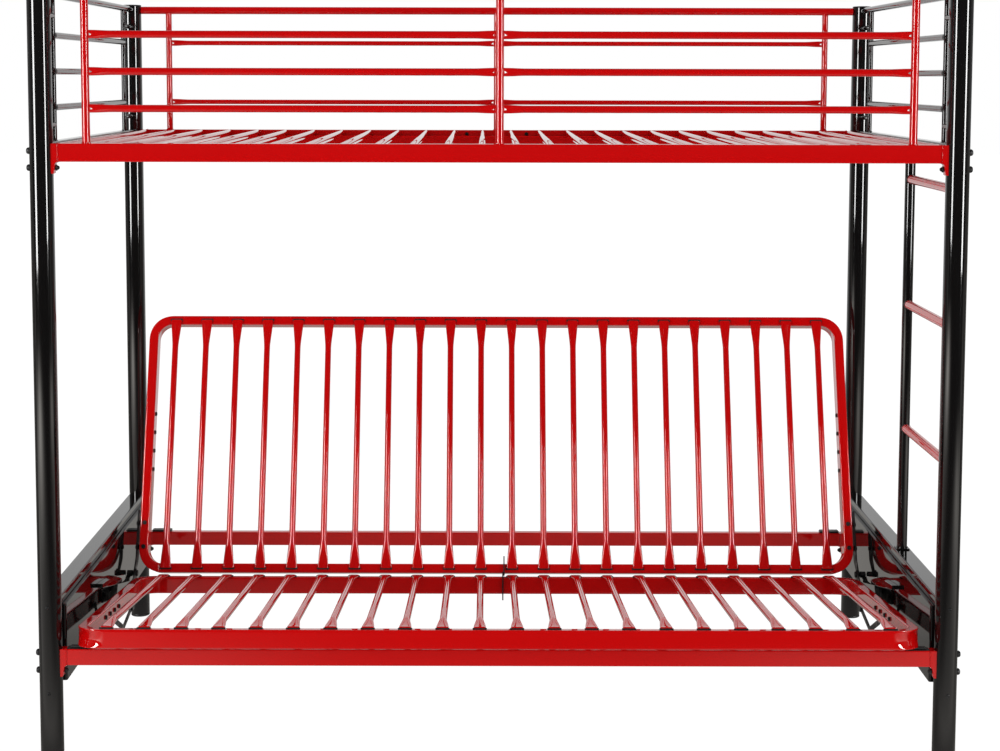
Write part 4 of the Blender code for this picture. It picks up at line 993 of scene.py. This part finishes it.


# Painted light on the floor in the gloss: brightest by the bed's front, painted shade under it, two painted
# pools:
# front = base + peak exp(fall (y + nearest)), pool = brightness * exp(-distance^2 / spread)
def paintedFloorLight(tree):
    s, work = paintedFloorGloss, partial(combine, tree)
    x, y, _ = splitAxes(tree, "Object")
    aside = work("ABSOLUTE", x)
    fall = work("EXPONENT", work("MULTIPLY", work("MINIMUM", work("ADD", y, s["nearest"]), 0.0), s["fall"]))
    front = work("MULTIPLY", work("MULTIPLY", fall, s["peak"]), ramp(tree, aside, *s["frontAside"]))
    under = work("MULTIPLY", ramp(tree, y, *s["under"]), ramp(tree, aside, *s["underAside"]))
    level = choose(tree, ramp(tree, y, *s["edge"]), work("ADD", front, s["base"]), under)
    for (poolX, poolY), brightness, spread in s["pools"]:
        squares = (work("POWER", work("SUBTRACT", axis, pool), 2) for axis, pool in ((x, poolX), (y, poolY)))
        pool = work("EXPONENT", work("MULTIPLY", work("ADD", *squares), -1 / spread))
        level = work("ADD", level, work("MULTIPLY", pool, brightness))
    return level


# The floor is white to the camera apart from the object's faint shadow
def makeFloor():
    half = studio["floorHalf"]
    tree = planeOf("studioFloor", [(-half, -half, 0), (half, -half, 0), (half, half, 0), (-half, half, 0)])[1]
    seen, inGloss = rayKinds(tree)
    # In the gloss the floor shows only its painted light and shade, a glow in place of the light that falls on
    # it
    glossy = glow(tree, paintedFloorLight(tree))
    glossy.inputs["Color"].default_value = studio["floorWarmth"]
    faint, plain = (node(tree, "ShaderNodeBsdfDiffuse", {"Color": (studio[shade],) * 3 + (1,)}).outputs[0]
                    for shade in ("floorShade", "floorBounce"))
    shown = node(tree, "ShaderNodeAddShader")
    tree.links.new(glow(tree, studio["floorGlow"]).outputs[0], shown.inputs[0])
    tree.links.new(faint, shown.inputs[1])
    mixed = mixShaders(tree, inGloss, mixShaders(tree, seen, plain, shown.outputs[0]), glossy.outputs[0])
    tree.links.new(mixed, node(tree, "ShaderNodeOutputMaterial").inputs["Surface"])


# A white board stands behind the bed, and only the gloss shows it
def makeBackdrop():
    y, half, high = studio["backdropY"], studio["backdropHalf"], studio["backdropHeight"]
    board, tree = planeOf("studioBackdrop", [(-half, y, 0), (half, y, 0), (half, y, high), (-half, y, high)])
    paint = glow(tree, studio["backdropGloss"])
    tree.links.new(paint.outputs[0], node(tree, "ShaderNodeOutputMaterial").inputs["Surface"])
    board.visible_camera = board.visible_diffuse = board.visible_shadow = board.visible_transmission = False


# The world is white to the camera. Reflections see a dim room, and its diffuse light is low and even.
def makeWorld():
    world = bpy.data.worlds.new("studioWorld")
    bpy.context.scene.world = world
    world.use_nodes = True
    tree = world.node_tree
    x, y, z = splitAxes(tree, "Generated")
    room = combine(tree, "MULTIPLY", ramp(tree, y, *studio["roomBack"]), ramp(tree, z, *studio["roomTop"]))
    soft = studio["ambient"]
    for axis, share in ((y, "ambientFront"), (z, "ambientTop")):
        soft = combine(tree, "SUBTRACT", soft, combine(tree, "MULTIPLY", axis, studio[share]))
    seen, inGloss = rayKinds(tree)
    level = choose(tree, seen, choose(tree, inGloss, soft, room), 1.0)
    sky = tree.nodes["Background"].inputs
    tree.links.new(level, sky["Strength"])
    sky["Color"].default_value = (1, 1, 1, 1)


# Tall soft boxes at both sides of the camera, each with an upper part that only shows in the gloss.
# Levels are the foot, the joint and the top. Power = radiance * pi * area.
strips = {
    "leftBox": dict(place=(-4.33, -3.57), levels=(0.6, 1.5, 2.9), aim=(-0.3, -0.3), radiance=21.0),
    "rightBox": dict(place=(5.46, -4.34), levels=(0.46, 1.48, 3.1), aim=(0.3, -0.3), radiance=23.0),
}
stripWidth = 1.3


def makeStrips():
    for name, s in strips.items():
        foot, joint, top = s["levels"]
        for label, low, high in ((name, foot, joint), (name + "Top", joint, top)):
            lamp = bpy.data.lights.new(label, "AREA")
            lamp.shape, lamp.size, lamp.size_y = "RECTANGLE", stripWidth, high - low
            lamp.energy = s["radiance"] * math.pi * stripWidth * (high - low)
            item = linked(label, lamp)
            item.location = (*s["place"], (high + low) / 2)
            aim = Vector((*s["aim"], item.location.z)) - item.location
            item.rotation_euler = aim.to_track_quat("-Z", "Y").to_euler()
            item.visible_camera = item.visible_transmission = False
            item.visible_diffuse = low == foot


makeFloor()
makeBackdrop()
makeWorld()
makeStrips()
print("studio made")


# The photograph's view is level, so the lens is shifted rather than tipped far down
view = dict(place=(-0.032, -4.367, 1.4981), pitch=4.917, roll=0.12, lens=64.41, shiftX=0.0153, shiftY=-0.145)


def makeCamera():
    data = bpy.data.cameras.new("studioCamera")
    data.lens, data.sensor_width = view["lens"], 36.0
    data.shift_x, data.shift_y = view["shiftX"], view["shiftY"]
    item = linked("studioCamera", data)
    item.location = view["place"]
    tip, roll = math.radians(90 - view["pitch"]), math.radians(view["roll"])
    item.rotation_euler = (Matrix.Rotation(tip, 3, "X") @ Matrix.Rotation(roll, 3, "Z")).to_euler()
    bpy.context.scene.camera = item


makeCamera()
bpy.context.scene.view_settings.view_transform = "Standard"
